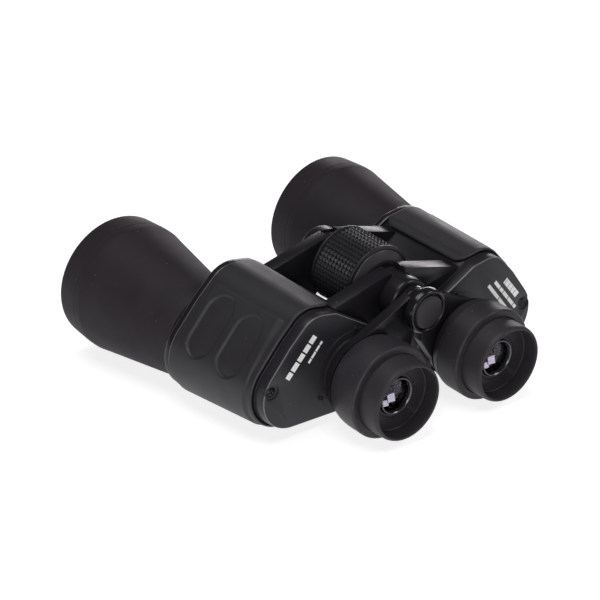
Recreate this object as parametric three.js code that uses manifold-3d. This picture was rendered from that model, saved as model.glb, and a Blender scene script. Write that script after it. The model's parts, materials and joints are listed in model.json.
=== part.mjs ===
// Porro-prism binoculars with a centre focus wheel, in millimetres.
//
// Every solid is built in the hinge frame: +X to the right as seen from the eyepieces, +Y forward
// to the objectives, +Z up, and the hinge, focus wheel and spindle all on the Y axis. The group at
// the end lifts the hinge frame so that the part's origin is the bottom centre of its box.
//
// Outlines and places are written for the right half, with x pointing outward from the hinge. A
// side is +1 for the right half and -1 for the left half, and mirrors them.

import * as THREE from "three";
import { mergeVertices } from "three/addons/utils/BufferGeometryUtils.js";
import loadManifold from "manifold-3d";

const wasm = await loadManifold();
wasm.setup();

// ---- Driving dimensions ------------------------------------------------------------------------

const seatGap = 0.2; // between pieces that are fixed together
const runGap = 0.4; // between pieces that move past each other
const overcut = 1; // how far a cutting tool runs past the face that it opens

const eyeAxis = { x: 30.06, z: -25.41 }; // 60 mm between the eyepieces
const objectiveAxis = { x: 62.73, z: -27.82 };

const housing = {
  rear: -45.5,
  front: 7.4,
  wall: 2,
  frontWall: 2.4,
  taperAnchor: { x: 42, z: 8 }, // the outline grows towards the front, away from this point
  taperX: 1.12,
  taperZ: 1.08,
  objectiveRadius: 17.4, // the outline's round corners: around the objective axis,
  tubeSurround: 6.3, // this much more than the eyepiece tube, around the eyepiece axis,
  ridge: { x: 50.5, z: -6, radius: 12.6 }, // along the top,
  shoulder: { x: 56, z: -14, radius: 14.2 }, // down the outer side,
  brow: { x: 44, z: -3, radius: 8.5 }, // and above the arms
};

const armour = { thickness: 1.8, innerEdgeTop: 37.5, innerEdgeBottom: 30 };
const gripPanel = { rise: 0.8, rear: -39, front: 4, inner: 61, top: 8, bottom: -42 };

const frontPlate = { thickness: 3.3, overhang: 1.2 };
const rearCover = { depth: 6.2, wall: 2, bevel: 0.8, step: 0.8, stepInset: 0.7, collar: 2.1 };
const coverScrew = {
  headRadius: 2.2,
  headHeight: 1.4,
  sink: 0.2,
  shankRadius: 1.2,
  length: 12,
  recessRadius: 3.8, // a shallow round recess about the outer screw
  recessDepth: 0.7,
};
const screwBoss = { radius: 2.6, length: 9 };
const outerScrew = { x: 75.3, z: -23.4 };
const innerScrew = { clearOfTube: 0.8, angle: 235.85 }; // beside the tube, below and inside it

const hinge = {
  frontArmRear: -2,
  frontArmFront: 5,
  rearArmFront: -38,
  lugRadius: 10.3,
  boreRadius: 5,
  axleRadius: 4.7,
  sleeveBore: 3.9,
  headRadius: 7,
  headHeight: 4.6,
};
const arm = {
  topInner: { x: 4, z: 12 },
  topOuter: { x: 37, z: 3.5 },
  heelOuter: { x: 37, z: -10 },
  heelInner: { x: 14, z: -20 },
};
const frontCap = { overLug: 1.14, length: 6.5, edge: 1.2, crown: 1.4 };
const rearCollar = { overLug: 0.4, taper: 0.8, length: 8.5, edge: 0.8 };

const wheel = {
  rear: -32.6,
  front: -6.8,
  radius: 18,
  coreRadius: 16.2,
  edge: 0.7,
  coneInset: 0.3, // each end of the core rises as a cone
  coneHeight: 2.6,
  coneWidth: 3.6,
  sideSpace: 1,
  nutRadius: 7.8,
  nutLength: 19,
};
const spindle = { radius: 3.4, front: -13, headRadius: 5, headLength: 3.1 };
const endCap = { radius: 10.72, length: 5, lip: 1, discRadius: 7.7, discRise: 1, discDepth: 1.6 };

const barrel = {
  neckRadius: 15.5,
  neckRear: 2.4,
  coneRadius: 22.3,
  coneEnd: 65,
  coneEndRadius: 31.4,
  creaseY: 70,
  creaseRadius: 31.8,
  front: 82.68,
  frontRadius: 31,
  hoodRadius: 29.3,
  hoodRear: 69.5,
  seatRadius: 26.2,
  seatRear: 56.5,
  ledge: 2,
  ledgeHeight: 2.4,
  wall: 2.1,
};
const objective = { crown: 6.5, crownSag: 3.2, joint: 1.9, flint: 3, flintSag: 0.8, ringWidth: 1.6 };

const shelf = { rear: -25.6, thickness: 2.4, holeRadius: 9 };
const porro = { halfBase: 20.5, width: 20, trim: 2 };
const clip = { thickness: 0.8, width: 7 };

const bridge = { rear: -60.5, front: -55.5, hubRadius: 8.1, ringWall: 4, collarFlare: 2.1 };
const bridgeHub = { front: -54.9, rear: -61.7, innerEdge: 3 };
const tube = { radius: 14.2, wall: 1.8, front: -43, rear: -72.5 };
const eyepiece = { rear: -78.7, overCup: 3.55, shoulder: 6, shoulderInset: 1.75, edge: 0.8, split: 5.6 };
const eyecup = { overTube: 4.4, wall: 2.1, front: -73.8, rear: -90, edge: 0.8 };
const ocular = { rear: -83, dish: 1.8, dishRadius: 12.6 };
const lensRing = { radius: 8.8, width: 1.2, rear: -82.65, front: -80.6 };
const eyeLens = { front: -75.5, rearEdge: -80.2, sagRear: 1.2, sagFront: 1.2 };
const fieldLens = { front: -45.5, rear: -49, sag: 1.6 };
const fieldStop = { y: -60, thickness: 1.2, holeRadius: 8 };

const segments = { outer: 28, inner: 16, small: 8, outline: 32, lensRings: 3 };

// ---- Sizes that follow from them -----------------------------------------------------------------

const tubeCornerRadius = tube.radius + housing.tubeSurround;
const coverStepRadius = tubeCornerRadius - rearCover.stepInset;
const innerScrewReach = tube.radius + innerScrew.clearOfTube + screwBoss.radius;
const innerScrewAngle = THREE.MathUtils.degToRad(innerScrew.angle);
const screwPlaces = [
  outerScrew,
  {
    x: eyeAxis.x + innerScrewReach * Math.cos(innerScrewAngle),
    z: eyeAxis.z + innerScrewReach * Math.sin(innerScrewAngle),
  },
];
const frontCapRadius = hinge.lugRadius + frontCap.overLug;
const collarFrontRadius = hinge.lugRadius + rearCollar.overLug;
const collarRearRadius = collarFrontRadius - rearCollar.taper;
const ringRadius = tube.radius + bridge.ringWall;
const ringCollarRadius = ringRadius + bridge.collarFlare;
const cupRadius = tube.radius + eyecup.overTube;
const eyepieceRadius = cupRadius + eyepiece.overCup;
const eyepieceShoulderRadius = eyepieceRadius - eyepiece.shoulderInset;

// ---- Finishes ----------------------------------------------------------------------------------

function finish(color, roughness, metalness) {
  return new THREE.MeshStandardMaterial({ color, roughness, metalness });
}

const finishes = {
  satinPaint: finish(0x2a272a, 0.42, 0.15),
  coverPaint: finish(0x232225, 0.36, 0.1),
  rubber: finish(0x252427, 0.8, 0),
  plastic: finish(0x1d1c20, 0.45, 0),
  glossPlastic: finish(0x1a1a1d, 0.2, 0),
  blackMetal: finish(0x2c2b2e, 0.35, 0.6),
  steel: finish(0x8d8d92, 0.35, 0.9),
  brass: finish(0xa98c4e, 0.4, 0.9),
  glass: finish(0x8f86a8, 0.06, 0),
};

// ---- Solids ------------------------------------------------------------------------------------

// A closed three.js geometry as a solid, with its faces pointing out.
function solidOf(geometry) {
  const bare = geometry.clone();
  bare.deleteAttribute("normal");
  bare.deleteAttribute("uv");
  const merged = mergeVertices(bare, 1e-4);
  const points = merged.attributes.position.array;
  const index = merged.index.array;
  const faces = [];
  let volume = 0;
  for (let i = 0; i < index.length; i += 3) {
    const [a, b, c] = [index[i], index[i + 1], index[i + 2]];
    if (a === b || b === c || c === a) continue;
    faces.push([a, b, c]);
    const corners = [a, b, c].map((k) => new THREE.Vector3().fromArray(points, 3 * k));
    volume += corners[0].dot(corners[1].cross(corners[2]));
  }
  const triVerts = faces.map(([a, b, c]) => (volume > 0 ? [a, b, c] : [a, c, b])).flat();
  const mesh = new wasm.Mesh({
    numProp: 3,
    vertProperties: new Float32Array(points),
    triVerts: new Uint32Array(triVerts),
  });
  return new wasm.Manifold(mesh);
}

// A profile of [radius, y] points turned about the line through (x, z) along Y. One that doesn't
// start and end on that line is closed into a ring.
function turned(profile, { x, z }, count = segments.outer) {
  const onAxis = profile[0][0] === 0 && profile.at(-1)[0] === 0;
  const closed = onAxis ? profile : [...profile, profile[0]];
  const points = closed.map(([radius, y]) => new THREE.Vector2(radius, y));
  return solidOf(new THREE.LatheGeometry(points, count).translate(x, 0, z));
}

function cylinder(radius, rear, front, place, count = segments.outer) {
  return turned([[0, rear], [radius, rear], [radius, front], [0, front]], place, count);
}

function tubeRing(radius, bore, rear, front, place, count = segments.inner) {
  return turned([[radius, rear], [radius, front], [bore, front], [bore, rear]], place, count);
}

// An outline of {x, z} points swept along Y from rear to front.
function extruded(outline, rear, front) {
  const shape = new THREE.Shape(outline.map(({ x, z }) => new THREE.Vector2(x, z)));
  const geometry = new THREE.ExtrudeGeometry(shape, { depth: front - rear, bevelEnabled: false });
  return geometry.rotateX(Math.PI / 2).translate(0, front, 0);
}

// An outline of [along, y] points in the plane that holds Y and a direction square to it, as
// thick as width, turned about Y so that "along" points to (x, z), and moved to a centre.
function crossBar(outline, width, direction, centre) {
  const shape = new THREE.Shape(outline.map(([along, y]) => new THREE.Vector2(along, y)));
  const geometry = new THREE.ExtrudeGeometry(shape, { depth: width, bevelEnabled: false });
  geometry.translate(0, 0, -width / 2);
  geometry.rotateY(Math.atan2(-direction.z, direction.x));
  return solidOf(geometry.translate(centre.x, 0, centre.z));
}

// The outline of a belt pulled tight around circles of {x, z, radius}.
function beltAround(circles, count = segments.outline) {
  const points = [];
  for (const { x, z, radius } of circles) {
    for (let i = 0; i < count; i += 1) {
      const angle = (2 * Math.PI * i) / count;
      points.push({ x: x + radius * Math.cos(angle), z: z + radius * Math.sin(angle) });
    }
  }
  points.sort((a, b) => a.x - b.x || a.z - b.z);
  return [...halfHull(points), ...halfHull(points.reverse())];
}

function halfHull(sorted) {
  const hull = [];
  for (const point of sorted) {
    while (hull.length > 1 && turn(hull.at(-2), hull.at(-1), point) <= 1e-9) hull.pop();
    hull.push(point);
  }
  return hull.slice(0, -1);
}

function turn(a, b, c) {
  return (b.x - a.x) * (c.z - a.z) - (b.z - a.z) * (c.x - a.x);
}

function mirrored(outline, side) {
  return outline.map(({ x, z }) => ({ x: side * x, z }));
}

function onSide(place, side) {
  return { x: side * place.x, z: place.z };
}

// ---- The prism housing's shape -----------------------------------------------------------------

function housingOutline(growth) {
  const { objectiveRadius, ridge, shoulder, brow } = housing;
  const circles = [
    { ...objectiveAxis, radius: objectiveRadius + growth },
    { ...eyeAxis, radius: tubeCornerRadius + growth },
    { ...ridge, radius: ridge.radius + growth },
    { ...shoulder, radius: shoulder.radius + growth },
    { ...brow, radius: brow.radius + growth },
  ];
  return beltAround(circles);
}

// The housing's outline, grown or shrunk all round, from rear to front, with the taper that all
// of the housing's pieces share: none at its rear face, all of it at its front face.
function housingBlock(side, growth, rear, front) {
  const geometry = extruded(housingOutline(growth), rear, front);
  const place = geometry.attributes.position;
  const { taperAnchor, taperX, taperZ } = housing;
  for (let i = 0; i < place.count; i += 1) {
    const share = (place.getY(i) - housing.rear) / (housing.front - housing.rear);
    const outward = Math.max(place.getX(i) - taperAnchor.x, 0);
    place.setX(i, side * (place.getX(i) + outward * (taperX - 1) * share));
    const drop = place.getZ(i) - taperAnchor.z;
    place.setZ(i, taperAnchor.z + drop * (1 + (taperZ - 1) * share));
  }
  return solidOf(geometry);
}

// ---- Prism housings, with their hinge arms ------------------------------------------------------

const rearArmSplit = (housing.rear + hinge.rearArmFront) / 2;
const frontArmSplit = (hinge.frontArmRear + hinge.frontArmFront) / 2;
const hingeAxis = { x: 0, z: 0 };

// One arm: a plate from the housing to the hinge, with a lug on one part of its thickness and a
// clear space for the other half's lug on the rest.
function hingeArm(side, rear, front, split, lugIsRear) {
  const outline = [arm.topInner, arm.topOuter, arm.heelOuter, arm.heelInner];
  outline.push({ x: arm.topInner.x, z: -hinge.lugRadius });
  const plate = solidOf(extruded(mirrored(outline, side), rear, front));
  const lugRear = lugIsRear ? rear : split + seatGap / 2;
  const lugFront = lugIsRear ? split - seatGap / 2 : front;
  const spaceRear = lugIsRear ? lugFront : rear - overcut;
  const spaceFront = lugIsRear ? front + overcut : lugRear;
  const space = cylinder(hinge.lugRadius + runGap, spaceRear, spaceFront, hingeAxis);
  const lug = cylinder(hinge.lugRadius, lugRear, lugFront, hingeAxis);
  return plate.subtract(space).add(lug);
}

// The room that the focus wheel turns in, grown all round.
function wheelRoom(growth) {
  const radius = wheel.radius + runGap + growth;
  return cylinder(radius, wheel.rear - wheel.sideSpace - growth, wheel.front + wheel.sideSpace + growth, hingeAxis);
}

function prismHousing(side) {
  const { rear, front, wall, frontWall } = housing;
  const inside = housingBlock(side, -wall, rear - overcut, front - frontWall);
  const cavity = inside.subtract(wheelRoom(wall));
  const neck = { radius: barrel.neckRadius + seatGap, ...onSide(objectiveAxis, side) };
  const neckHole = cylinder(neck.radius, front - frontWall - overcut, front + overcut, neck);
  const axleBore = cylinder(hinge.boreRadius, rear - overcut, front + overcut, hingeAxis);
  const rearArm = hingeArm(side, rear, hinge.rearArmFront, rearArmSplit, side > 0);
  const frontArm = hingeArm(side, hinge.frontArmRear, hinge.frontArmFront, frontArmSplit, side < 0);
  let shell = housingBlock(side, 0, rear, front).add(rearArm).add(frontArm);
  shell = shell.subtract(cavity).subtract(neckHole).subtract(axleBore).subtract(wheelRoom(0));
  for (const place of screwPlaces) {
    const at = onSide(place, side);
    const boss = cylinder(screwBoss.radius, rear, rear + screwBoss.length, at, segments.inner);
    const holeRadius = coverScrew.shankRadius + seatGap;
    const holeFront = rear + screwBoss.length + overcut;
    const hole = cylinder(holeRadius, rear - overcut, holeFront, at, segments.small);
    shell = shell.add(boss.intersect(housingBlock(side, -seatGap, rear, front))).subtract(hole);
  }
  return shell;
}

// ---- Armour, covers and their screws -------------------------------------------------------------

function rubberArmour(side) {
  const { rear, front } = housing;
  const outer = housingBlock(side, armour.thickness, rear, front);
  const inner = housingBlock(side, seatGap, rear - overcut, front + overcut);
  const far = 150;
  const bare = [
    { x: -far, z: far },
    { x: armour.innerEdgeTop, z: far },
    { x: armour.innerEdgeTop, z: eyeAxis.z },
    { x: armour.innerEdgeBottom, z: eyeAxis.z },
    { x: armour.innerEdgeBottom, z: -far },
    { x: -far, z: -far },
  ];
  const opening = solidOf(extruded(mirrored(bare, side), rear - overcut, front + overcut));
  const panelRise = armour.thickness + gripPanel.rise;
  const raised = housingBlock(side, panelRise, gripPanel.rear, gripPanel.front);
  const windowOutline = [
    { x: gripPanel.inner, z: gripPanel.top },
    { x: far, z: gripPanel.top },
    { x: far, z: gripPanel.bottom },
    { x: gripPanel.inner, z: gripPanel.bottom },
  ];
  const window = solidOf(extruded(mirrored(windowOutline, side), gripPanel.rear, gripPanel.front));
  return outer.add(raised.intersect(window)).subtract(inner).subtract(opening);
}

function frontCover(side) {
  const rear = housing.front + seatGap;
  const front = rear + frontPlate.thickness;
  const neckRadius = barrel.neckRadius + seatGap;
  const place = onSide(objectiveAxis, side);
  const hole = cylinder(neckRadius, rear - overcut, front + overcut, place);
  return housingBlock(side, frontPlate.overhang, rear, front).subtract(hole);
}

const coverFront = housing.rear - seatGap;
const coverFace = coverFront - rearCover.depth;
const guideBore = tube.radius + runGap;

function eyepieceCover(side) {
  const eye = onSide(eyeAxis, side);
  const bevelFront = coverFace + rearCover.bevel;
  const cavityRear = coverFace + rearCover.wall;
  const stepRear = coverFace - rearCover.step;
  const collarRear = coverFace - rearCover.collar;
  const collarRadius = guideBore + rearCover.wall;
  let cover = housingBlock(side, 0, bevelFront, coverFront);
  cover = cover.add(housingBlock(side, -rearCover.bevel, coverFace, bevelFront));
  cover = cover.subtract(housingBlock(side, -rearCover.wall, cavityRear, coverFront + overcut));
  cover = cover.add(cylinder(coverStepRadius, stepRear, cavityRear, eye));
  cover = cover.add(cylinder(collarRadius, collarRear, coverFront, eye));
  cover = cover.subtract(cylinder(guideBore, collarRear - overcut, coverFront + overcut, eye));
  for (const place of screwPlaces) {
    const at = onSide(place, side);
    const sinkFront = coverFace + coverScrew.sink + coverScrew.headHeight;
    const sinkRadius = coverScrew.headRadius + seatGap;
    const holeRadius = coverScrew.shankRadius + seatGap;
    const post = cylinder(screwBoss.radius, cavityRear, coverFront, at, segments.inner);
    const inside = housingBlock(side, -seatGap, coverFace, coverFront);
    const sink = cylinder(sinkRadius, stepRear - overcut, sinkFront, at, segments.inner);
    const hole = cylinder(holeRadius, coverFace, coverFront + overcut, at, segments.small);
    cover = cover.add(post.intersect(inside)).subtract(sink).subtract(hole);
  }
  const recessFront = coverFace + coverScrew.recessDepth;
  const recess = cylinder(
    coverScrew.recessRadius, coverFace - overcut, recessFront, onSide(outerScrew, side), segments.inner,
  );
  return cover.subtract(recess);
}

function screw(place) {
  const rear = coverFace + coverScrew.sink;
  const front = rear + coverScrew.headHeight - seatGap / 2;
  const { headRadius, shankRadius, length } = coverScrew;
  const profile = [
    [0, rear],
    [headRadius, rear],
    [headRadius, front],
    [shankRadius, front],
    [shankRadius, front + length],
    [0, front + length],
  ];
  return turned(profile, place, segments.small);
}

// ---- Hinge ---------------------------------------------------------------------------------------

function hingeFrontCap() {
  const rear = hinge.frontArmFront + seatGap;
  const front = rear + frontCap.length;
  const pocket = hinge.headRadius + seatGap;
  const pocketFront = rear + hinge.headHeight + seatGap;
  const profile = [
    [0, front],
    [frontCapRadius - frontCap.crown, front],
    [frontCapRadius, front - frontCap.edge],
    [frontCapRadius, rear],
    [pocket, rear],
    [pocket, pocketFront],
    [0, pocketFront],
  ];
  return turned(profile, hingeAxis);
}

const nutMiddle = (wheel.rear + wheel.front) / 2;
const nutFront = nutMiddle + wheel.nutLength / 2;
const nutRear = nutMiddle - wheel.nutLength / 2;

function frontAxle() {
  const head = hinge.frontArmFront + seatGap;
  const profile = [
    [0, head + hinge.headHeight],
    [hinge.headRadius, head + hinge.headHeight],
    [hinge.headRadius, head],
    [hinge.axleRadius, head],
    [hinge.axleRadius, nutFront + runGap],
    [0, nutFront + runGap],
  ];
  return turned(profile, hingeAxis, segments.inner);
}

const collarFront = housing.rear - seatGap;
const collarRear = collarFront - rearCollar.length;

function rearSleeve() {
  const rear = collarRear + seatGap;
  return tubeRing(hinge.axleRadius, hinge.sleeveBore, rear, nutRear - runGap, hingeAxis);
}

function hingeCollar() {
  const { edge } = rearCollar;
  const profile = [
    [collarFrontRadius, collarFront],
    [collarRearRadius + edge / 4, collarRear + edge],
    [collarRearRadius - edge, collarRear],
    [hinge.axleRadius + seatGap, collarRear],
    [hinge.axleRadius + seatGap, collarFront],
  ];
  return turned(profile, hingeAxis, segments.inner);
}

// ---- Focus drive ---------------------------------------------------------------------------------

function wheelCore() {
  const { rear, front, coreRadius, coneInset, coneHeight, coneWidth } = wheel;
  const coneFoot = coreRadius - coneInset;
  const coneTop = coneFoot - coneWidth;
  const bore = hinge.axleRadius + runGap / 2;
  const nutPocket = wheel.nutRadius + seatGap;
  const profile = [
    [coreRadius, rear],
    [coreRadius, front],
    [coneFoot, front],
    [coneTop, front + coneHeight],
    [bore, front + coneHeight],
    [bore, nutFront + seatGap],
    [nutPocket, nutFront + seatGap],
    [nutPocket, nutRear - seatGap],
    [bore, nutRear - seatGap],
    [bore, rear - coneHeight],
    [coneTop, rear - coneHeight],
    [coneFoot, rear],
  ];
  return turned(profile, hingeAxis);
}

function wheelGrip() {
  const { rear, front, radius, coreRadius, edge } = wheel;
  const profile = [
    [radius - edge, rear],
    [radius, rear + edge],
    [radius, front - edge],
    [radius - edge, front],
    [coreRadius + seatGap, front],
    [coreRadius + seatGap, rear],
  ];
  return turned(profile, hingeAxis);
}

function focusNut() {
  return tubeRing(wheel.nutRadius, spindle.radius + seatGap, nutRear, nutFront, hingeAxis);
}

const capFront = bridgeHub.rear - seatGap;

function focusSpindle() {
  const { radius, front, headRadius, headLength } = spindle;
  const profile = [
    [0, front],
    [radius, front],
    [radius, capFront],
    [headRadius, capFront],
    [headRadius, capFront - headLength],
    [0, capFront - headLength],
  ];
  return turned(profile, hingeAxis, segments.inner);
}

const capRear = capFront - endCap.length;
const discPocketFloor = capRear + endCap.discDepth;

function spindleEndCap() {
  const { radius, lip, discRadius } = endCap;
  const discPocket = discRadius + seatGap;
  const headPocket = spindle.headRadius + seatGap;
  const profile = [
    [radius - lip / 3, capFront],
    [radius, capFront - lip],
    [radius, capRear + lip],
    [radius - lip, capRear],
    [discPocket + lip / 2, capRear],
    [discPocket, capRear + lip / 2],
    [discPocket, discPocketFloor],
    [headPocket, discPocketFloor],
    [headPocket, capFront],
  ];
  return turned(profile, hingeAxis, segments.outer);
}

function endCapDisc() {
  const { discRadius, discRise } = endCap;
  return cylinder(discRadius, capRear - discRise, discPocketFloor - seatGap, hingeAxis);
}

// ---- Bridge arms and eyepieces -------------------------------------------------------------------

const hubSplit = (bridgeHub.front + bridgeHub.rear) / 2;

// The left arm's lug is the front one of the two on the spindle, and the right arm's the rear one.
function bridgeArm(side) {
  const eye = onSide(eyeAxis, side);
  const { rear, front, hubRadius } = bridge;
  const circles = [
    { x: 0, z: 0, radius: hubRadius },
    { ...eyeAxis, radius: ringRadius },
  ];
  const far = 100;
  const gapOutline = [
    { x: -far, z: far },
    { x: bridgeHub.innerEdge, z: far },
    { x: bridgeHub.innerEdge, z: -far },
    { x: -far, z: -far },
  ];
  const gap = solidOf(extruded(mirrored(gapOutline, side), rear - overcut, front + overcut));
  const lugFront = side < 0 ? bridgeHub.front : hubSplit - seatGap / 2;
  const lugRear = side < 0 ? hubSplit + seatGap / 2 : bridgeHub.rear;
  const spaceFront = side < 0 ? lugRear : front + overcut;
  const spaceRear = side < 0 ? rear - overcut : lugFront;
  const space = cylinder(hubRadius + runGap, spaceRear, spaceFront, hingeAxis);
  const lug = cylinder(hubRadius, lugRear, lugFront, hingeAxis);
  const bore = cylinder(
    spindle.radius + seatGap, bridgeHub.rear - overcut, bridgeHub.front + overcut, hingeAxis,
    segments.inner,
  );
  const collarProfile = [[0, front], [ringRadius, front], [ringCollarRadius, rear], [0, rear]];
  const plate = solidOf(extruded(mirrored(beltAround(circles), side), rear, front));
  const body = plate.subtract(gap).subtract(space).add(lug).add(turned(collarProfile, eye));
  const tubeRadius = side < 0 ? tube.radius + seatGap : tube.radius + runGap / 2;
  const tubeHole = cylinder(tubeRadius, rear - overcut, front + overcut, eye);
  return body.subtract(bore).subtract(tubeHole);
}

const bodyFront = bridge.rear - seatGap;
const splitPlane = bodyFront - eyepiece.split;

// The left eyepiece's body is one turned piece. On the right it is split into a fixed seat and the
// dioptre ring that turns behind it.
function eyepieceBody(side) {
  const { rear, edge } = eyepiece;
  const radius = eyepieceRadius;
  const tubeBore = tube.radius + seatGap;
  const cupBore = cupRadius + seatGap;
  const profile = [
    [eyepieceShoulderRadius, bodyFront],
    [(eyepieceShoulderRadius + 2 * radius) / 3, bodyFront - eyepiece.shoulder / 2],
    [radius, bodyFront - eyepiece.shoulder],
    [radius, rear + edge],
    [radius - edge, rear],
    [cupBore, rear],
    [cupBore, tube.rear],
    [tubeBore, tube.rear],
    [tubeBore, bodyFront],
  ];
  return turned(profile, onSide(eyeAxis, side));
}

function dioptreSeat() {
  const radius = eyepieceRadius;
  const tubeBore = tube.radius + runGap / 2;
  const profile = [
    [eyepieceShoulderRadius, bodyFront],
    [(eyepieceShoulderRadius + 2 * radius) / 3, bodyFront - eyepiece.shoulder / 2],
    [radius, splitPlane],
    [tubeBore, splitPlane],
    [tubeBore, bodyFront],
  ];
  return turned(profile, onSide(eyeAxis, 1));
}

function dioptreRing() {
  const { rear, edge } = eyepiece;
  const radius = eyepieceRadius;
  const front = splitPlane - runGap / 2;
  const cupBore = cupRadius + runGap;
  const profile = [
    [radius, front],
    [radius, rear + edge],
    [radius - edge, rear],
    [cupBore, rear],
    [cupBore, front],
  ];
  return turned(profile, onSide(eyeAxis, 1));
}

function eyepieceTube(side) {
  const { radius, wall, front, rear } = tube;
  return tubeRing(radius, radius - wall, rear, front, onSide(eyeAxis, side));
}

function rubberEyecup(side) {
  const { wall, front, rear, edge } = eyecup;
  const radius = cupRadius;
  const profile = [
    [radius, front],
    [radius, rear + edge],
    [radius - edge, rear],
    [radius - wall + edge, rear],
    [radius - wall, rear + edge],
    [radius - wall, front],
  ];
  return turned(profile, onSide(eyeAxis, side));
}

const ocularFront = tube.rear - seatGap;

function ocularFace(side) {
  const outer = cupRadius - eyecup.wall - seatGap;
  const bore = lensRing.radius + seatGap;
  const { rear, dish, dishRadius } = ocular;
  const profile = [
    [outer, ocularFront],
    [outer, rear],
    [dishRadius, rear + dish],
    [bore, rear + dish],
    [bore, ocularFront],
  ];
  return turned(profile, onSide(eyeAxis, side), segments.outer);
}

function eyeLensRing(side) {
  const { radius, width, rear, front } = lensRing;
  return tubeRing(radius, radius - width, rear, front, onSide(eyeAxis, side));
}

// A round lens between two edge planes, each face bulging by its sag, and hollowed by it below 0.
function lens(radius, rearEdge, sagRear, frontEdge, sagFront, place) {
  const steps = segments.lensRings;
  const profile = [];
  for (let i = 0; i <= steps; i += 1) {
    const share = i / steps;
    profile.push([radius * share, rearEdge - sagRear * (1 - share * share)]);
  }
  for (let i = steps; i >= 0; i -= 1) {
    const share = i / steps;
    profile.push([radius * share, frontEdge + sagFront * (1 - share * share)]);
  }
  return turned(profile, place, segments.inner);
}

function eyepieceEyeLens(side) {
  const { front, rearEdge, sagRear, sagFront } = eyeLens;
  return lens(lensRing.radius, rearEdge, sagRear, front, sagFront, onSide(eyeAxis, side));
}

function eyepieceFieldLens(side) {
  const { front, rear, sag } = fieldLens;
  const radius = tube.radius - tube.wall - seatGap;
  return lens(radius, rear, 0, front, sag, onSide(eyeAxis, side));
}

function eyepieceFieldStop(side) {
  const { y, thickness, holeRadius } = fieldStop;
  const radius = tube.radius - tube.wall - seatGap;
  return tubeRing(radius, holeRadius, y, y + thickness, onSide(eyeAxis, side));
}

// ---- Objectives ----------------------------------------------------------------------------------

const coneRear = housing.front + seatGap + frontPlate.thickness + seatGap;

function objectiveBarrel(side) {
  const b = barrel;
  const slope = (b.coneEndRadius - b.coneRadius) / (b.coneEnd - coneRear);
  const coneAt = (y) => b.coneRadius + slope * (y - coneRear);
  const ledgeRear = b.seatRear - b.ledge;
  const coneFloor = coneRear + b.wall;
  const neckBore = b.neckRadius - b.wall;
  const profile = [
    [b.neckRadius, b.neckRear],
    [b.neckRadius, coneRear],
    [b.coneRadius, coneRear],
    [b.coneEndRadius, b.coneEnd],
    [b.creaseRadius, b.creaseY],
    [b.frontRadius, b.front],
    [b.hoodRadius, b.front],
    [b.hoodRadius, b.hoodRear],
    [b.seatRadius, b.hoodRear],
    [b.seatRadius, b.seatRear],
    [b.seatRadius - b.ledgeHeight, b.seatRear],
    [b.seatRadius - b.ledgeHeight, ledgeRear],
    [coneAt(ledgeRear) - b.wall, ledgeRear],
    [coneAt(coneFloor) - b.wall, coneFloor],
    [neckBore, coneFloor],
    [neckBore, b.neckRear],
  ];
  return turned(profile, onSide(objectiveAxis, side));
}

const lensRadius = barrel.seatRadius - seatGap;
const flintRear = barrel.seatRear + seatGap;
const flintFront = flintRear + objective.flint;
const crownRear = flintFront + objective.joint + seatGap;
const crownFront = crownRear + objective.crown - objective.crownSag;

function flintLens(side) {
  const place = onSide(objectiveAxis, side);
  return lens(lensRadius, flintRear, objective.flintSag, flintFront + objective.joint, -objective.joint, place);
}

function crownLens(side) {
  const place = onSide(objectiveAxis, side);
  return lens(lensRadius, crownRear, objective.joint, crownFront, objective.crownSag, place);
}

function objectiveRing(side) {
  const bore = lensRadius - objective.ringWidth;
  const bulge = objective.crownSag * (1 - (bore / lensRadius) ** 2);
  const rear = crownFront + bulge + seatGap;
  return tubeRing(lensRadius, bore, rear, barrel.hoodRear, onSide(objectiveAxis, side));
}

// ---- Prisms --------------------------------------------------------------------------------------

// Each prism carries the light sideways by the distance between its two ways in and out, and the
// two shifts are square to each other, so the place between them is a corner of a square whose
// diagonal runs from the objective axis to the eyepiece axis.
const diagonal = { x: eyeAxis.x - objectiveAxis.x, z: eyeAxis.z - objectiveAxis.z };
const betweenAxis = {
  x: objectiveAxis.x + (diagonal.x + diagonal.z) / 2,
  z: objectiveAxis.z + (diagonal.z - diagonal.x) / 2,
};
const shelfFront = shelf.rear + shelf.thickness;
const glassGap = 0.3;

function prismShelf(side) {
  let plate = housingBlock(side, -housing.wall - seatGap, shelf.rear, shelfFront);
  plate = plate.subtract(wheelRoom(housing.wall + seatGap));
  for (const place of [objectiveAxis, betweenAxis, eyeAxis]) {
    const at = onSide(place, side);
    const hole = cylinder(shelf.holeRadius, shelf.rear - overcut, shelfFront + overcut, at, segments.inner);
    plate = plate.subtract(hole);
  }
  return plate;
}

// A prism's base lies along the line from one axis to the other, and its apex points along Y.
function layOut(from, to, side) {
  const centre = { x: (side * (from.x + to.x)) / 2, z: (from.z + to.z) / 2 };
  const direction = { x: side * (to.x - from.x), z: to.z - from.z };
  return { centre, direction };
}

function porroPrism(side, from, to, base, heading) {
  const { halfBase, width, trim } = porro;
  const outline = [
    [-halfBase + trim, base],
    [halfBase - trim, base],
    [halfBase - trim, base + heading * trim],
    [0, base + heading * halfBase],
    [-halfBase + trim, base + heading * trim],
  ];
  const { centre, direction } = layOut(from, to, side);
  const eye = onSide(eyeAxis, side);
  const guideRadius = guideBore + rearCover.wall + glassGap;
  const guide = cylinder(guideRadius, coverFace, coverFront + glassGap, eye);
  const tubeEnd = cylinder(guideBore, coverFace, tube.front + 2 * runGap, eye);
  return crossBar(outline, width, direction, centre).subtract(guide).subtract(tubeEnd);
}

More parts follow.
